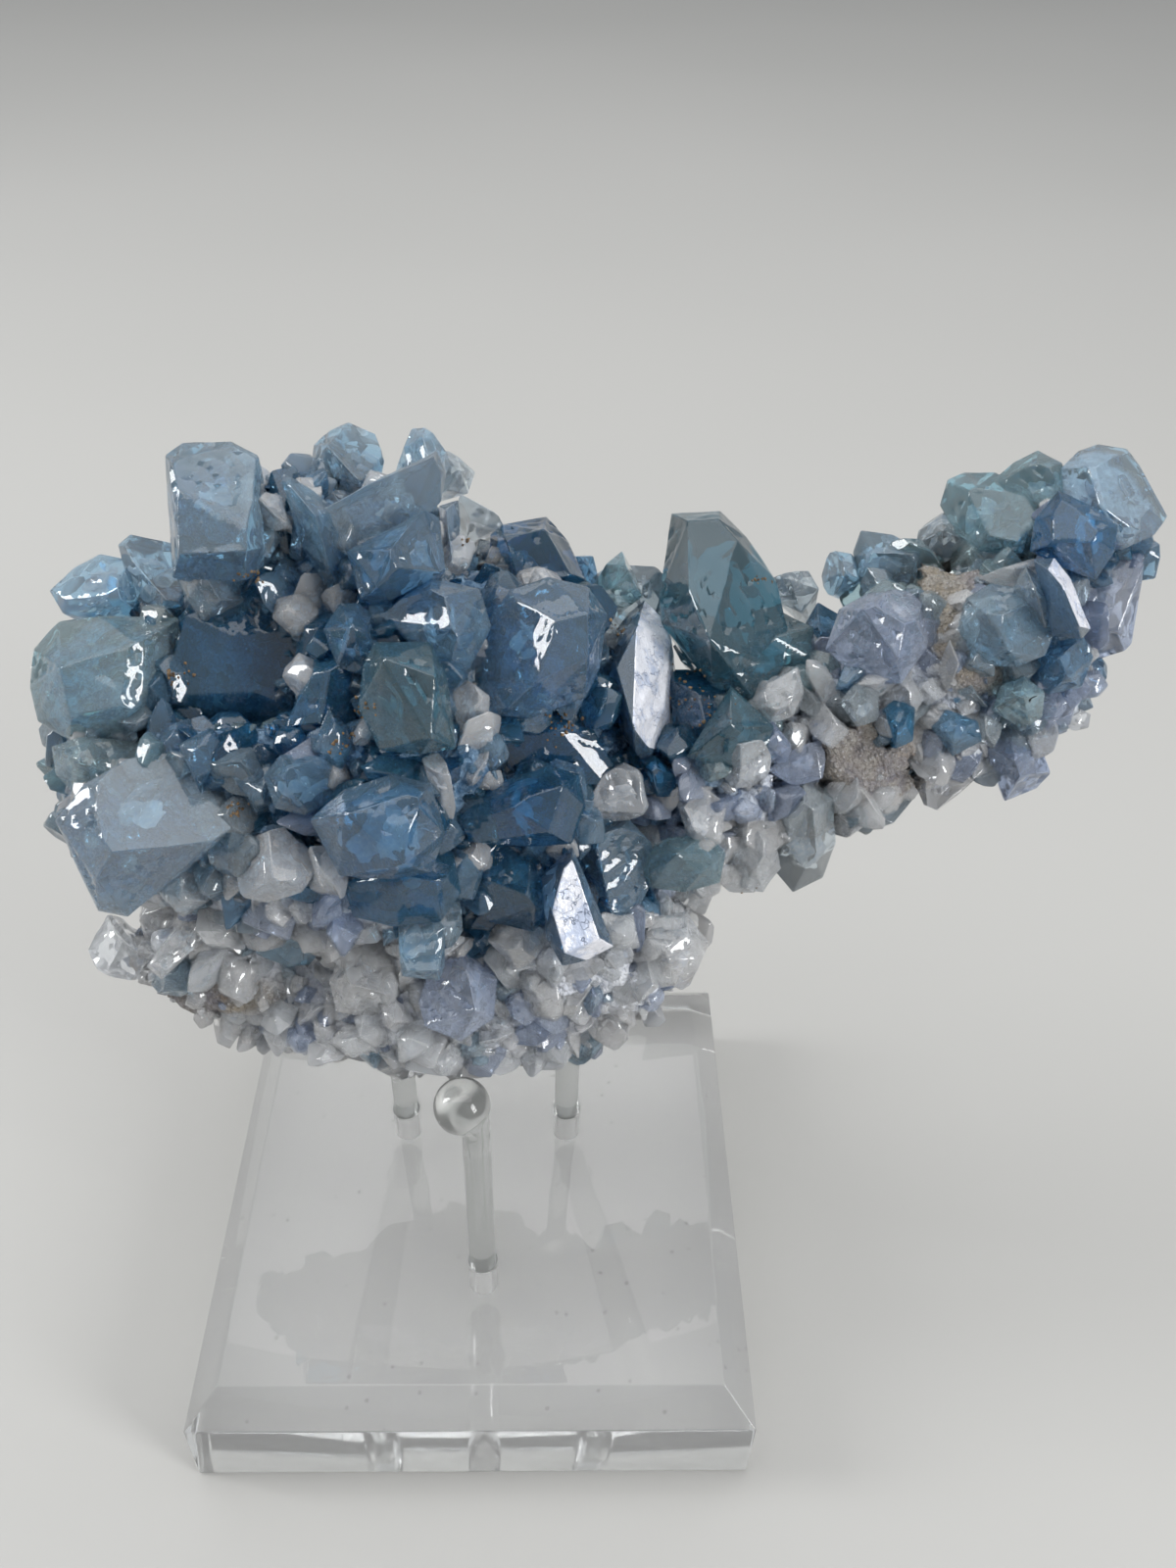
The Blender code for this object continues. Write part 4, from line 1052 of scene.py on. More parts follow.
# Group: light and dark body colour, absorption colour and density, share passed through,
# least and most roughness, and how much of it is frosted
CRYSTAL_LOOKS = {
    "pale": (rgb(0.78, 0.91, 1.00), rgb(0.58, 0.78, 0.92), rgb(0.22, 0.62, 0.80), 80.0, 0.87, 0.010, 0.09, 0.16),
    "aqua": (rgb(0.76, 0.93, 0.96), rgb(0.56, 0.80, 0.88), rgb(0.18, 0.64, 0.76), 75.0, 0.87, 0.010, 0.09, 0.16),
    "teal": (rgb(0.42, 0.68, 0.78), rgb(0.22, 0.46, 0.58), rgb(0.12, 0.54, 0.62), 140.0, 0.90, 0.008, 0.08, 0.08),
    # The deep group's dark blue and dense absorption are partly the crystals' own navy and partly painted shade
    # for the recesses they fill.
    "deep": (rgb(0.17, 0.47, 0.72), rgb(0.06, 0.26, 0.47), rgb(0.02, 0.46, 0.70), 160.0, 0.90, 0.008, 0.08, 0.05),
    "mid": (rgb(0.44, 0.67, 0.86), rgb(0.24, 0.48, 0.71), rgb(0.10, 0.54, 0.77), 95.0, 0.88, 0.010, 0.09, 0.12),
    "lilac": (rgb(0.68, 0.76, 0.92), rgb(0.47, 0.57, 0.77), None, 0.0, 0.80, 0.012, 0.11, 0.24),
    "white": (rgb(1.00, 1.00, 1.00), rgb(0.94, 0.97, 1.00), None, 0.0, 0.76, 0.008, 0.11, 0.55),
    "bright": (rgb(0.56, 0.75, 0.92), rgb(0.36, 0.57, 0.78), rgb(0.14, 0.53, 0.77), 90.0, 0.88, 0.010, 0.09, 0.10),
    "smoky": (rgb(0.74, 0.81, 0.85), rgb(0.54, 0.63, 0.69), None, 0.0, 0.82, 0.015, 0.10, 0.20),
}


def crystal_material(group):
    """Glassy crystal with a drifting tint, milky wisps along its grain and shell-like breaks."""
    light, dark, stain, density, clear, smooth, rough, frosted = CRYSTAL_LOOKS[group]
    graph = Graph("crystal_" + group)
    grain = graph.attribute("grain", "Vector")
    tone = graph.attribute("tone")
    drift = graph.noise(grain, 0.09, 0.0)
    share = graph.math("ADD", graph.math("MULTIPLY", tone, 0.55), drift)
    colour = graph.mix(graph.ramp(share, 0.45, 1.05), dark, light)
    wisps = graph.noise(graph.vector("MULTIPLY", grain, (0.45, 0.45, 0.12)), 1.0, 2.0, 0.62)
    colour = graph.mix(graph.ramp(wisps, 0.56, 0.74, 0.0, frosted), colour, FROST)
    graph.put(graph.shader.inputs["Base Color"], colour)
    graph.put(graph.shader.inputs["Roughness"], graph.ramp(wisps, 0.50, 0.75, smooth, rough))
    shells = graph.wave(grain, "RINGS", 0.15, 6.0)
    shells = graph.math("MULTIPLY", shells, graph.ramp(drift, 0.54, 0.66, 0.0, 0.5))
    height = graph.math("ADD", graph.math("MULTIPLY", wisps, 0.8), shells)
    graph.links.new(graph.bump(height, 0.12, 0.0005), graph.shader.inputs["Normal"])
    graph.shader.inputs["IOR"].default_value = 1.62
    graph.shader.inputs["Transmission Weight"].default_value = clear
    if stain:
        graph.absorb(stain, density)
    return graph.material


def veil_material():
    """Milky sheets of healed cracks inside the crystals."""
    graph = Graph("crystal_veils")
    grain = graph.attribute("grain", "Vector")
    wisps = graph.noise(grain, 1.1, 3.0, 0.6)
    colour = graph.mix(graph.ramp(wisps, 0.35, 0.65), rgb(0.66, 0.76, 0.88), rgb(0.97, 0.98, 1.00))
    graph.put(graph.shader.inputs["Base Color"], colour)
    graph.put(graph.shader.inputs["Roughness"], graph.ramp(wisps, 0.3, 0.7, 0.08, 0.28))
    graph.links.new(graph.bump(wisps, 0.4, 0.0004), graph.shader.inputs["Normal"])
    graph.shader.inputs["IOR"].default_value = 1.62
    graph.shader.inputs["Transmission Weight"].default_value = 0.55
    return graph.material


def painted_sheen_material():
    """Painted reflection: a pale, partly metallic sheet of colour that stands in for a bright light mirrored by a
    cleavage face, broken by the face's own fine dark cracks.
    """
    graph = Graph("crystal_painted_sheen")
    grain = graph.attribute("grain", "Vector")
    bent = graph.vector("ADD", grain, graph.scaled_colour_noise(grain, 0.35, 5.0))
    cracks = graph.ramp(graph.cells(bent, 0.26, "DISTANCE_TO_EDGE"), 0.004, 0.028, 1.0, 0.0)
    patches = graph.noise(grain, 0.30, 5.0, 0.72)
    cracks = graph.math("MULTIPLY", cracks, graph.ramp(patches, 0.40, 0.55))
    broken = graph.ramp(patches, 0.44, 0.62)
    # The pale sheet colours are painted reflection; the dark crack colour is the face's own.
    colour = graph.mix(broken, rgb(0.90, 0.91, 0.97), rgb(0.52, 0.58, 0.72))
    colour = graph.mix(graph.math("MULTIPLY", cracks, 0.8), colour, rgb(0.16, 0.20, 0.29))
    graph.put(graph.shader.inputs["Base Color"], colour)
    graph.put(graph.shader.inputs["Roughness"], graph.ramp(broken, 0.0, 1.0, 0.16, 0.40))
    graph.shader.inputs["Metallic"].default_value = 0.35
    height = graph.math("SUBTRACT", graph.noise(grain, 0.7, 4.0, 0.7), cracks)
    graph.links.new(graph.bump(height, 0.6, 0.0005), graph.shader.inputs["Normal"])
    return graph.material


def rock_material():
    """Bluish crystal crust between the crystals, pale on the rim and neck (partly the crust's own colour, partly
    painted light); sandy, stained rock where it is bare.
    """
    graph = Graph("matrix_rock")
    place = graph.object_mm()
    bare = graph.attribute("bare")
    broad = graph.noise(place, 0.07, 3.0, 0.6)
    mottled = graph.noise(place, 0.45, 4.0, 0.65)
    sand = graph.noise(place, 2.4, 3.0, 0.7)
    grains = graph.cells(place, 1.3)
    colour = graph.mix(graph.ramp(broad, 0.38, 0.62), rgb(0.22, 0.21, 0.23), rgb(0.30, 0.26, 0.20))
    colour = graph.mix(graph.ramp(mottled, 0.35, 0.7), colour, rgb(0.36, 0.34, 0.31))
    colour = graph.mix(graph.ramp(sand, 0.50, 0.66, 0.0, 0.8), colour, rgb(0.15, 0.12, 0.10))
    colour = graph.mix(graph.ramp(grains, 0.30, 0.12, 0.0, 0.6), colour, rgb(0.52, 0.51, 0.53))
    stain = graph.math(
        "MULTIPLY", graph.ramp(graph.noise(place, 0.13, 2.0), 0.56, 0.68),
        graph.ramp(mottled, 0.45, 0.65),
    )
    colour = graph.mix(graph.math("MULTIPLY", stain, 0.7), colour, rgb(0.28, 0.19, 0.12))
    crust = graph.mix(graph.ramp(mottled, 0.35, 0.65), rgb(0.05, 0.13, 0.24), rgb(0.26, 0.40, 0.56))
    crust = graph.mix(graph.ramp(grains, 0.28, 0.12, 0.0, 0.5), crust, rgb(0.48, 0.61, 0.74))
    # Pale rim crust: partly the crust's own lilac-white, partly painted light for the rim's bright underside.
    pale = graph.mix(graph.ramp(mottled, 0.35, 0.65), rgb(0.68, 0.71, 0.79), rgb(0.90, 0.92, 0.96))
    crust = graph.mix(graph.attribute("rim"), crust, pale)
    colour = graph.mix(bare, crust, colour)
    graph.put(graph.shader.inputs["Base Color"], colour)
    graph.put(graph.shader.inputs["Roughness"], graph.ramp(mottled, 0.3, 0.7, 0.85, 0.45))
    height = graph.math("ADD", mottled, graph.math("MULTIPLY", sand, 0.5))
    height = graph.math("SUBTRACT", height, graph.math("MULTIPLY", grains, 0.5))
    graph.links.new(graph.bump(height, 0.9, 0.0014), graph.shader.inputs["Normal"])
    return graph.material


def rust_material():
    graph = Graph("rust_grains")
    place = graph.object_mm()
    shade = graph.ramp(graph.noise(place, 1.2, 2.0), 0.35, 0.65)
    colour = graph.mix(shade, rgb(0.07, 0.045, 0.025), rgb(0.26, 0.17, 0.09))
    graph.put(graph.shader.inputs["Base Color"], colour)
    graph.shader.inputs["Roughness"].default_value = 0.85
    return graph.material


ACRYLIC_LOOKS = {
    "block": (rgb(1.00, 1.00, 1.00), 0.90, 0.006, 0.03, 0.5),
    "peg": (rgb(0.74, 0.75, 0.74), 0.90, 0.050, 0.12, 0.2),
}


def acrylic_material(kind):
    """Clear acrylic with faint smears, hairline scratches and dust; the pegs are cloudier."""
    tint, clear, smooth, rough, dusty = ACRYLIC_LOOKS[kind]
    graph = Graph("clear_acrylic_" + kind)
    place = graph.object_mm()
    smear = graph.noise(place, 0.06, 3.0, 0.6)
    scratch = graph.noise(graph.vector("MULTIPLY", place, (0.12, 3.2, 0.6)), 1.0, 2.0, 0.5, 0.4)
    dust = graph.ramp(graph.cells(place, 0.22), 0.10, 0.06)
    colour = graph.mix(graph.math("MULTIPLY", dust, dusty), tint, rgb(0.55, 0.54, 0.52))
    graph.put(graph.shader.inputs["Base Color"], colour)
    roughness = graph.ramp(smear, 0.40, 0.75, smooth, rough)
    roughness = graph.math("ADD", roughness, graph.ramp(scratch, 0.70, 0.78, 0.0, 0.05))
    graph.put(graph.shader.inputs["Roughness"], roughness)
    graph.shader.inputs["IOR"].default_value = 1.49
    graph.shader.inputs["Transmission Weight"].default_value = clear
    graph.absorb(rgb(0.80, 0.92, 0.88), 1.6)
    return graph.material


def floor_material():
    graph = Graph("floor")
    place = graph.object_mm()
    drift = graph.noise(place, 0.002, 2.0)
    colour = graph.mix(graph.ramp(drift, 0.3, 0.7), rgb(0.40, 0.397, 0.383), rgb(0.42, 0.416, 0.402))
    graph.put(graph.shader.inputs["Base Color"], colour)
    graph.shader.inputs["Roughness"].default_value = 0.7
    return graph.material




def soft_light(name, place, aim, width, height, power, colour=(1.0, 1.0, 1.0)):
    lamp = bpy.data.lights.new(name, "AREA")
    lamp.shape = "RECTANGLE"
    lamp.size = width
    lamp.size_y = height
    lamp.energy = power
    lamp.color = colour
    made = bpy.data.objects.new(name, lamp)
    made.location = place
    made.rotation_euler = (Vector(aim) - Vector(place)).to_track_quat("-Z", "Y").to_euler()
    bpy.context.scene.collection.objects.link(made)


def make_light():
    """Dim even surroundings, a soft key from above and a weak fill."""
    world = bpy.data.worlds.new("studio")
    world.use_nodes = True
    ground = world.node_tree.nodes["Background"]
    ground.inputs["Color"].default_value = rgb(0.90, 0.92, 0.94)
    ground.inputs["Strength"].default_value = 0.58
    scene = bpy.context.scene
    scene.world = world
    scene.view_settings.view_transform = "Standard"
    soft_light("overhead", (0.0, 0.20, 1.00), (0.0, 0.0, 0.1), 1.7, 1.3, 9.2)
    soft_light("left_strip", (-0.80, 0.05, 0.55), (0.0, 0.0, 0.1), 0.25, 0.50, 4.8)
    soft_light("right_strip", (0.70, -0.45, 0.40), (0.0, 0.0, 0.1), 0.25, 0.50, 5.2)


GROUP_KINDS = {
    "pale": ("flat", "wavy", "shell", "steps"),
    "aqua": ("flat", "wavy", "shell"),
    "teal": ("flat", "flat", "steps"),
    "deep": ("flat", "flat", "steps", "wavy"),
    "mid": ("flat", "steps", "wavy", "shell"),
    "lilac": ("flat", "steps", "shell"),
    "white": ("steps", "shell", "rough"),
    "bright": ("flat", "wavy"),
    "smoky": ("wavy", "flat"),
}
GROUP_CHIPS = {"teal": 0, "bright": 0, "deep": 1, "white": 5, "lilac": 2}
USUAL_CHIPS = 1
CHIP_SIZE = (0.5, 1.9)
# Least cosine between faces that carry the painted sheen together
PAINTED_SHEEN_ALIKE = {"bright_lozenge": 0.8, "lilac_blade": 0.9}


# Healed cracks in each traced crystal, by group
VEIL_COUNTS = {
    "pale": 5, "aqua": 5, "teal": 4, "deep": 3, "mid": 5, "lilac": 6, "white": 8, "bright": 2,
    "smoky": 4,
}
VEIL_SIZE = (1.0, 3.4)
VEIL_SPOKES = 14
VEIL_RINGS = 3
VEIL_THICKNESS = 0.05
VEIL_MARGIN = 0.3


def veil_sheet(centre, normal, size, rng):
    """A thin, rippled, ragged lens: its points and faces."""
    side = normal.orthogonal().normalized()
    side.rotate(Matrix.Rotation(rng.uniform(0.0, math.tau), 3, normal))
    across = normal.cross(side)
    narrow = rng.uniform(0.3, 0.8)
    phase = rng.uniform(0.0, math.tau)
    ripples = rng.uniform(1.5, 4.0)
    ragged = [rng.uniform(0.55, 1.1) for _ in range(VEIL_SPOKES)]

    def place(ring, spoke, lift):
        angle = math.tau * spoke / VEIL_SPOKES
        reach = size * ring / VEIL_RINGS
        if ring == VEIL_RINGS:
            reach *= ragged[spoke]
        flat_x, flat_y = reach * math.cos(angle), reach * narrow * math.sin(angle)
        height = 0.06 * math.sin(flat_x * ripples + phase) + 0.035 * flat_x * flat_x
        return centre + side * flat_x + across * flat_y + normal * (height + lift)

    points = [place(VEIL_RINGS, spoke, 0.0) for spoke in range(VEIL_SPOKES)]
    faces = []
    for lift in (VEIL_THICKNESS, -VEIL_THICKNESS):
        start = len(points)
        for ring in range(1, VEIL_RINGS):
            points.extend(place(ring, spoke, lift) for spoke in range(VEIL_SPOKES))
        points.append(place(0, 0, lift))
        hub = len(points) - 1
        for spoke in range(VEIL_SPOKES):
            after = (spoke + 1) % VEIL_SPOKES
            rows = [hub] + [start + ring * VEIL_SPOKES for ring in range(VEIL_RINGS - 1)] + [0]
            loop = [(hub, rows[1] + spoke, rows[1] + after)]
            for inner, outer in zip(rows[1:], rows[2:]):
                loop.append((inner + spoke, outer + spoke, outer + after))
                loop.append((inner + spoke, outer + after, inner + after))
            faces.extend(corner if lift > 0 else corner[::-1] for corner in loop)
    return points, faces


def add_veils(pile, bm, count, rng):
    """Sheets of healed cracks that lie wholly inside a convex crystal."""
    bmesh.ops.recalc_face_normals(bm, faces=bm.faces)
    planes = [(face.normal.copy(), face.verts[0].co.copy()) for face in bm.faces]
    corners = [v.co.copy() for v in bm.verts]
    for _ in range(count):
        shares = [rng.random() ** 2 for _ in corners]
        total = sum(shares)
        centre = sum((corner * share for corner, share in zip(corners, shares)), Vector()) / total
        lean = Vector((rng.uniform(-1, 1), rng.uniform(-1, 1), rng.uniform(-1, 1)))
        normal = (rng.choice(planes)[0] + lean * 0.35).normalized()
        size = rng.uniform(*VEIL_SIZE)
        state = rng.getstate()
        for _ in range(4):
            rng.setstate(state)
            points, faces = veil_sheet(centre, normal, size, rng)
            if all((point - spot).dot(side) < -VEIL_MARGIN for side, spot in planes for point in points):
                grid = np.array([point[:] for point in points])
                pile.add(grid, np.array(faces), rng.random(), grid.copy())
                break
            size *= 0.7


def make_traced_crystals(piles, rock_tree, veils):
    """The crystals that the photo shows one by one; gives a ray tree for each."""
    veil_rng = random.Random(31)
    trees = []
    rng = random.Random(11)
    toward = -FORWARD
    for name, group, lift, depth, outline, ridge in CRYSTALS:
        points, base, facing = traced_points(rock_tree, lift, depth, outline, ridge)
        axis = long_axis(outline, base, facing)
        bm = chip_corners(
            points, base - facing * depth * 0.4, facing, rng,
            GROUP_CHIPS.get(group, USUAL_CHIPS), CHIP_SIZE,
        )
        add_veils(veils, bm, VEIL_COUNTS[group], veil_rng)
        waviness = 0.3 if group == "white" else 0.1
        corners, faces, painted_glint = refined_crystal(
            bm, rng, axis, GROUP_KINDS[group], toward, FINE_EDGE, EDGE_BEVEL, waviness,
            PAINTED_SHEEN_ALIKE.get(name, 0.5)
        )
        grain = grain_frame(corners, axis, rng)
        # Only crystals of the bright group keep their painted sheen faces.
        painted_sheen_faces = painted_glint if group == "bright" else None
        piles[group].add(corners, faces, rng.random(), grain, painted_sheen_faces)
        trees.append(BVHTree.FromPolygons((corners * MM).tolist(), faces.tolist()))
    return trees


# Colour groups of the unnamed crystals by place: centre and half sizes in pixels, then weights
ZONES = (
    # Recess zones lean on the deep group, whose darkness is partly painted shade.
    ((215, 690), (110, 90), {"deep": 6, "mid": 3, "aqua": 1}),
    ((100, 690), (60, 110), {"aqua": 5, "pale": 3, "white": 2}),
    ((150, 850), (90, 70), {"pale": 4, "mid": 1, "white": 4}),
    ((400, 520), (170, 80), {"mid": 5, "pale": 3, "white": 2, "smoky": 1}),
    ((430, 680), (170, 90), {"mid": 5, "deep": 3, "white": 1}),
    ((640, 740), (80, 70), {"deep": 6, "mid": 2}),
    ((640, 600), (50, 50), {"teal": 3, "smoky": 4, "deep": 2}),
    ((740, 640), (60, 100), {"teal": 5, "aqua": 3, "deep": 2}),
    ((450, 860), (190, 90), {"mid": 4, "deep": 5, "lilac": 1, "white": 2}),
    ((410, 1020), (330, 90), {"white": 9, "lilac": 2, "pale": 1}),
    ((120, 960), (70, 80), {"white": 7, "lilac": 2, "pale": 1, "smoky": 1}),
    ((760, 840), (100, 90), {"white": 6, "lilac": 3, "pale": 2, "aqua": 1}),
    ((860, 620), (70, 70), {"lilac": 3, "aqua": 2, "pale": 3, "smoky": 3}),
    ((930, 740), (100, 80), {"lilac": 4, "mid": 1, "white": 6, "smoky": 3}),
    ((1000, 560), (80, 60), {"aqua": 4, "pale": 4, "white": 2}),
    ((1060, 680), (90, 110), {"pale": 4, "lilac": 4, "white": 4, "mid": 2}),
    ((1140, 560), (60, 90), {"lilac": 5, "mid": 4, "deep": 2}),
)


def small_group(pixel, rng):
    """Colour group of an unnamed crystal, from the zone that it sits in."""
    zone = min(ZONES, key=lambda z: math.hypot(
        (pixel[0] - z[0][0]) / z[1][0], (pixel[1] - z[0][1]) / z[1][1]
    ))
    return rng.choices(tuple(zone[2]), tuple(zone[2].values()))[0]


def make_fill(piles, fine, rng):
    """Crystals in the gaps between the traced ones, leaning every way."""
    shapes = []
    toward = Vector((0, 0, 1))
    for _ in range(FILL_PROTOTYPES):
        breadth = rng.uniform(0.5, 1.0)
        points = []
        for level, share in ((0.0, 0.8), (rng.uniform(3.5, 7.5), 1.0)):
            turn = rng.uniform(0.0, 0.5)
            for step in range(rng.choice((4, 5, 6, 6))):
                angle = turn + math.tau * step / 6 + rng.uniform(-0.2, 0.2)
                points.append(Vector((
                    math.cos(angle) * 5.0 * share, math.sin(angle) * 5.0 * share * breadth, level
                )))
        tip = rng.uniform(1.5, 4.0)
        points.append(Vector((tip, rng.uniform(-1.0, 1.0), 10.0)))
        points.append(Vector((-tip * rng.uniform(0.2, 1.0), rng.uniform(-1.0, 1.0),
                              rng.uniform(8.0, 10.0))))
        bm = chip_corners(points, Vector((0, 0, 4)), Vector((0, 0, 1)), rng, 3, (0.6, 2.2))
        corners, faces, _ = refined_crystal(
            bm, rng, Vector((0, 0, 1)), ("flat", "steps", "shell", "wavy", "rough"),
            toward, 1.8, 0.22, 0.12
        )
        shapes.append((corners / 10.0, faces))
    outlines = [entry[4] for entry in CRYSTALS]
    inner = []
    for outline in outlines:
        middle_x = sum(x for x, _ in outline) / len(outline)
        middle_y = sum(y for _, y in outline) / len(outline)
        inner.append([
            (middle_x + (x - middle_x) * 0.72, middle_y + (y - middle_y) * 0.72)
            for x, y in outline
        ])

    def in_gap(spot, normal, _):
        if normal.dot((EYE_AT - spot).normalized()) < 0.05:
            return False
        pixel = pixel_of(spot)
        if in_bare_rock(pixel):
            return False
        return not any(inside_outline(pixel[0], pixel[1], outline) for outline in inner)

    for spot, normal in surface_spots(
        fine.data, rng, FILL_COUNT, FILL_SPACING, FILL_COUNT * 20, in_gap
    ):
        lean = Vector((rng.uniform(-1, 1), rng.uniform(-1, 1), rng.uniform(-1, 1)))
        axis = (normal + lean * FILL_LEAN).normalized()
        width = rng.uniform(*FILL_WIDTH)
        length = width * rng.uniform(*FILL_RATIO)
        if axis.dot((EYE_AT - spot).normalized()) < RIM_FACING:
            length *= RIM_LENGTH
        corners, faces = place_prototype(rng.choice(shapes), spot, axis, width, length, rng)
        group = small_group(pixel_of(spot), rng)
        piles[group].add(corners, faces, rng.random(), grain_frame(corners, axis, rng))


def make_small_crystals(piles, coarse, fine):
    """Crystals between the large ones, then druse and sugar on the rock."""
    outlines = [entry[4] for entry in CRYSTALS]
    toward = -FORWARD

    def fits_solid_model(spot, normal, spots):
        to_eye = (EYE_AT - spot).normalized()
        if normal.dot(to_eye) < SMALL_FACING:
            return False
        if any((spot - other).length < SMALL_SPACING for other, _ in spots):
            return False
        if normal.dot(to_eye) > 0.1:
            pixel = pixel_of(spot)
            if any(inside_outline(pixel[0], pixel[1], outline) for outline in outlines):
                return False
        return True

    rng = random.Random(SMALL_SEED)
    tint = random.Random(5)
    spots = surface_spots(
        coarse.data, rng, SMALL_COUNT, SMALL_SPACING, SMALL_COUNT * 60, fits_solid_model
    )
    for spot, normal in spots:
        lean = Vector((rng.uniform(-1, 1), rng.uniform(-1, 1), rng.uniform(-1, 1)))
        axis = (normal + lean * SMALL_LEAN).normalized()
        points = small_crystal_points(rng, spot, axis)
        pixel = pixel_of(spot)
        if in_bare_rock(pixel):
            continue
        group = small_group(pixel, tint)
        bm = chip_corners(points, spot, axis, tint, 3, (0.3, 1.0))
        corners, faces, painted_glint = refined_crystal(
            bm, tint, axis, GROUP_KINDS[group], toward, 1.1, 0.2, 0.08
        )
        piles[group].add(corners, faces, tint.random(), grain_frame(corners, axis, tint))

    make_fill(piles, fine, random.Random(FILL_SEED))
    for seed, wanted, spacing, widths, ratios in DRUSE:
        rng = random.Random(seed)
        prototypes = habit_prototypes(18 if wanted < 1000 else 8, seed, 0.05 if wanted < 1000 else 0)

        def shows(spot, normal, _):
            to_eye = (EYE_AT - spot).normalized()
            facing = normal.dot(to_eye)
            if facing < -0.3:
                return False
            pixel = pixel_of(spot)
            if facing > 0.1 and in_bare_rock(pixel):
                return rng.random() < 0.12
            return True

        for spot, normal in surface_spots(fine.data, rng, wanted, spacing, wanted * 14, shows):
            lean = Vector((rng.uniform(-1, 1), rng.uniform(-1, 1), rng.uniform(-1, 1)))
            axis = (normal + lean * 0.55).normalized()
            width = rng.uniform(*widths)
            length = width * rng.uniform(*ratios)
            if axis.dot((EYE_AT - spot).normalized()) < RIM_FACING:
                length *= RIM_LENGTH
            corners, faces = place_prototype(rng.choice(prototypes), spot, axis, width, length, rng)
            group = small_group(pixel_of(spot), rng)
            piles[group].add(corners, faces, rng.random(), grain_frame(corners, axis, rng))


def make_rust(trees):
    """Rust-brown grains caught in the crevices."""
    rng = random.Random(3)
    pile = Pile()
    for (x, y), spread, count in RUST:
        for _ in range(count):
            pixel_x = x + rng.gauss(0, spread * 0.6)
            pixel_y = y + rng.gauss(0, spread * 0.45)
            direction = sight(pixel_x, pixel_y)
            hits = []
            for tree in trees:
                found = tree.ray_cast(EYE_AT * MM, direction)
                if found[0] is not None:
                    hits.append(found)
            if not hits:
                continue
            spot = min(hits, key=lambda found: found[3])[0] / MM
            bm = bmesh.new()
            radius = rng.uniform(0.12, 0.34)
            bmesh.ops.create_icosphere(bm, subdivisions=1, radius=radius)
            for vertex in bm.verts:
                vertex.co *= rng.uniform(0.65, 1.25)
            corners = np.array([v.co[:] for v in bm.verts]) + np.array(spot[:])
            faces = np.array([[v.index for v in face.verts] for face in bm.faces])
            bm.free()
            pile.add(corners, faces, rng.random(), corners.copy())
    return pile.make("rust_grains", 80.0)


def swept_peg(name, path, radii):
    """Closed round rod through path points with a radius at each, pointed shut at both ends."""
    bm = bmesh.new()
    rings = []
    side = Vector((1, 0, 0))
    for index, centre in enumerate(path):
        ahead = path[min(index + 1, len(path) - 1)] - path[max(index - 1, 0)]
        if ahead.length > 1e-6:
            across = ahead.normalized().cross(side).normalized()
            side = across.cross(ahead).normalized()
        if radii[index] < 1e-4:
            rings.append([bm.verts.new(centre)])
            continue
        ring = []
        for step in range(PEG_RING):
            angle = math.tau * step / PEG_RING
            ring.append(bm.verts.new(
                centre + (side * math.cos(angle) + across * math.sin(angle)) * radii[index]
            ))
        rings.append(ring)
    for lower, upper in zip(rings, rings[1:]):
        for step in range(PEG_RING):
            after = (step + 1) % PEG_RING
            if len(lower) == 1:
                bm.faces.new((lower[0], upper[after], upper[step]))
            elif len(upper) == 1:
                bm.faces.new((lower[step], lower[after], upper[0]))
            else:
                bm.faces.new((lower[step], lower[after], upper[after], upper[step]))
    peg = object_from_bmesh(name, bm)
    peg.data.shade_smooth()
    peg.data.set_sharp_from_angle(angle=math.radians(50))
    return peg


def make_peg(name, foot, tip):
    """Peg from the bottom of its hole to the top of its ball, with a soft neck."""
    bottom = BLOCK_HEIGHT - HOLE_DEPTH + PEG_CLEARANCE
    bend = Vector((foot[0], foot[1], tip.z - PEG_BEND_BELOW_BALL))
    path = [Vector((foot[0], foot[1], bottom)), Vector((foot[0], foot[1], bottom))]
    radii = [0.0, PEG_RADIUS - 0.4]
    path.append(Vector((foot[0], foot[1], bottom + 0.4)))
    radii.append(PEG_RADIUS)
    for step in range(1, 9):
        path.append(Vector((foot[0], foot[1], bottom + (bend.z - 1.0 - bottom) * step / 8)))
        radii.append(PEG_RADIUS)
    for step in range(1, 37):
        share = step / 36
        early = Vector((foot[0], foot[1], bend.z - 1.0)).lerp(bend, min(1.0, share * 4))
        late = bend.lerp(tip, share)
        spot = early.lerp(late, min(1.0, share * 1.3)) if share < 1.0 else tip.copy()
        reach = (tip - spot).length
        ball = math.sqrt(max(0.0, BALL_RADIUS ** 2 - reach ** 2))
        blend = 0.5 * (PEG_RADIUS + ball + math.sqrt((ball - PEG_RADIUS) ** 2 + 0.5))
        path.append(spot)
        radii.append(min(blend, BALL_RADIUS))
    along = (path[-1] - path[-3]).normalized()
    for step in range(1, 13):
        angle = math.pi * 0.5 * step / 12
        path.append(tip + along * BALL_RADIUS * math.sin(angle))
        radii.append(BALL_RADIUS * math.cos(angle) if step < 12 else 0.0)
    return swept_peg(name, path, radii)


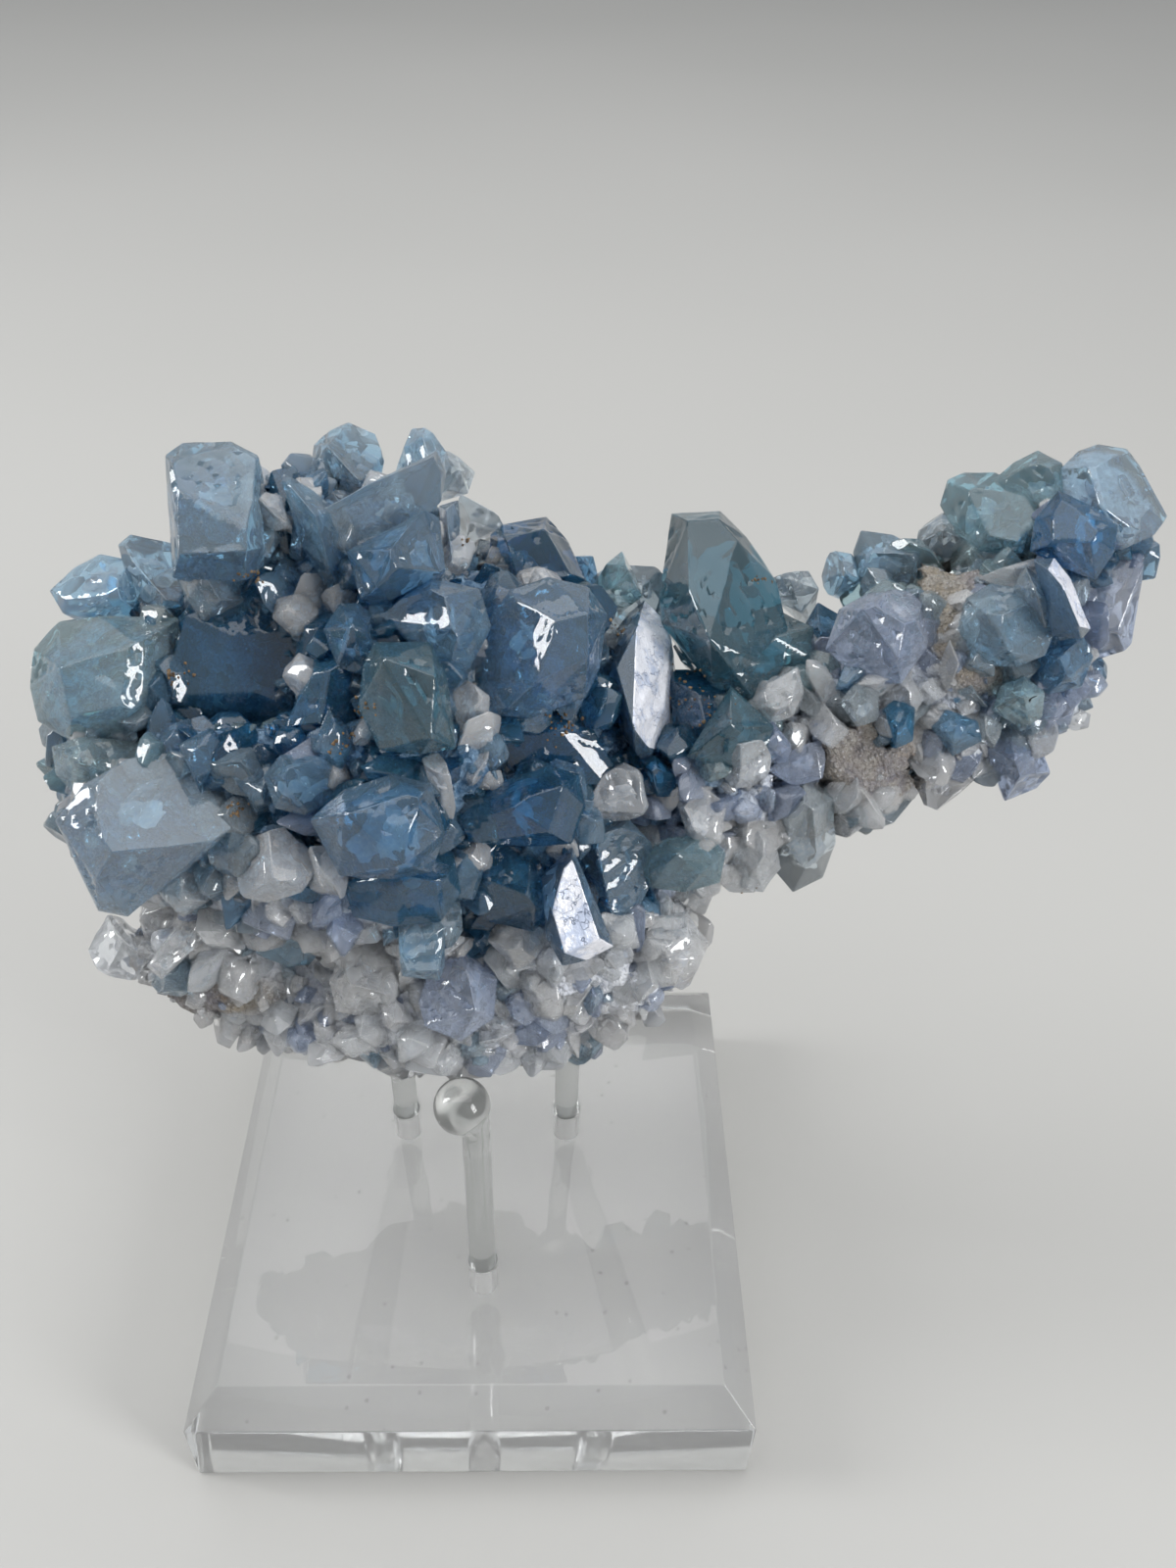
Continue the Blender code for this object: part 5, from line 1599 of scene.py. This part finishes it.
def make_block():
    """Clear block: wide bevel round the top, fine worn edges, three drilled holes."""
    bm = bmesh.new()
    bmesh.ops.create_cube(bm, size=1.0)
    bmesh.ops.scale(bm, vec=(BLOCK_SIDE, BLOCK_SIDE, BLOCK_HEIGHT), verts=bm.verts)
    bmesh.ops.translate(bm, vec=(0.0, 0.0, BLOCK_HEIGHT * 0.5), verts=bm.verts)
    top_edges = [edge for edge in bm.edges if all(v.co.z > BLOCK_HEIGHT * 0.9 for v in edge.verts)]
    bmesh.ops.bevel(bm, geom=top_edges, offset=BLOCK_BEVEL, segments=1, affect="EDGES")
    bmesh.ops.bevel(
        bm, geom=bm.edges[:], offset=BLOCK_EDGE, segments=3, profile=0.5, affect="EDGES"
    )
    bm, _ = in_fixed_order(bm)
    block = object_from_bmesh("clear_block", bm)
    radius = PEG_RADIUS + PEG_CLEARANCE
    for place in (FRONT_PEG_AT, (-BACK_PEG_X, BACK_PEG_Y), (BACK_PEG_X, BACK_PEG_Y)):
        profile = (
            (0.0, BLOCK_HEIGHT - HOLE_DEPTH - HOLE_CONE), (radius, BLOCK_HEIGHT - HOLE_DEPTH),
            (radius, BLOCK_HEIGHT - 0.35), (radius + 0.5, BLOCK_HEIGHT + 0.15),
            (radius + 0.5, BLOCK_HEIGHT + 2.0), (0.0, BLOCK_HEIGHT + 2.0),
        )
        bm = bmesh.new()
        rings = []
        for reach, height in profile:
            if reach == 0.0:
                rings.append([bm.verts.new((place[0], place[1], height))])
                continue
            rings.append([
                bm.verts.new((place[0] + reach * math.cos(math.tau * step / PEG_RING),
                              place[1] + reach * math.sin(math.tau * step / PEG_RING), height))
                for step in range(PEG_RING)
            ])
        for lower, upper in zip(rings, rings[1:]):
            for step in range(PEG_RING):
                after = (step + 1) % PEG_RING
                if len(lower) == 1:
                    bm.faces.new((lower[0], upper[after], upper[step]))
                elif len(upper) == 1:
                    bm.faces.new((lower[step], lower[after], upper[0]))
                else:
                    bm.faces.new((lower[step], lower[after], upper[after], upper[step]))
        drill = object_from_bmesh("drill", bm)
        cut = block.modifiers.new("drill", "BOOLEAN")
        cut.operation = "DIFFERENCE"
        cut.solver = "EXACT"
        cut.object = drill
        apply_modifiers(block)
        discard(drill)
    block.data.shade_smooth()
    block.data.set_sharp_from_angle(angle=math.radians(24))
    return block


def dress(made, material, slot, *nodes):
    made.data.materials.append(material)
    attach(made, "root")
    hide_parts(*nodes)


def make_floor():
    bm = bmesh.new()
    bmesh.ops.create_grid(bm, x_segments=2, y_segments=2, size=4000.0)
    floor = object_from_bmesh("floor", bm)
    floor.location.z = -0.0003
    floor.data.materials.append(floor_material())


def make_camera():
    lens = bpy.data.cameras.new("eye")
    lens.sensor_width = SENSOR_MM
    lens.lens = EYE_FOCAL_PX * SENSOR_MM / PHOTO_HEIGHT_PX
    lens.clip_start = 0.01
    lens.clip_end = 20.0
    eye = bpy.data.objects.new("eye", lens)
    turned = Matrix((RIGHT, -DOWN, -FORWARD)).transposed().to_4x4()
    turned.translation = EYE_AT * MM
    eye.matrix_world = turned
    bpy.context.scene.collection.objects.link(eye)
    bpy.context.scene.camera = eye


def main():
    make_camera()
    make_light()
    make_floor()

    coarse = make_coarse_rock()
    coarse_tree = BVHTree.FromPolygons(
        [vertex.co for vertex in coarse.data.vertices],
        [face.vertices[:] for face in coarse.data.polygons],
    )
    piles = {group: Pile() for group in CRYSTAL_LOOKS}
    veils = Pile()
    traced_trees = make_traced_crystals(piles, coarse_tree, veils)
    fine = make_fine_rock(traced_trees)
    make_small_crystals(piles, coarse, fine)
    discard(coarse)
    trees = []
    for group, pile in piles.items():
        piece = pile.make("crystals_" + group)
        trees.append(BVHTree.FromPolygons(
            [vertex.co for vertex in piece.data.vertices],
            [face.vertices[:] for face in piece.data.polygons],
        ))
        dress(piece, crystal_material(group), "celestite", "celestite_cluster")
        # The bright crystals' second material is the painted sheen, a painted reflection.
        if group == "bright":
            piece.data.materials.append(painted_sheen_material())
    dress(veils.make("crystal_veils", 60.0), veil_material(), "celestite", "celestite_cluster")
    dress(fine, rock_material(), "celestite", "celestite_cluster")
    dress(make_rust(trees), rust_material(), "celestite", "celestite_cluster")

    dress(make_block(), acrylic_material("block"), "clear_acrylic", "stand_block")
    peg_acrylic = acrylic_material("peg")
    tips = {
        "front": (FRONT_PEG_AT, Vector(FRONT_BALL_AT)),
        "back_left": ((-BACK_PEG_X, BACK_PEG_Y),
                      Vector((-BACK_PEG_X, BACK_PEG_Y, BACK_BALL_Z["back_left"]))),
        "back_right": ((BACK_PEG_X, BACK_PEG_Y),
                       Vector((BACK_PEG_X, BACK_PEG_Y, BACK_BALL_Z["back_right"]))),
    }
    for name, (foot, tip) in tips.items():
        peg = make_peg("clear_peg_" + name, foot, tip)
        dress(peg, peg_acrylic, "clear_acrylic", "stand_peg_" + name)


main()
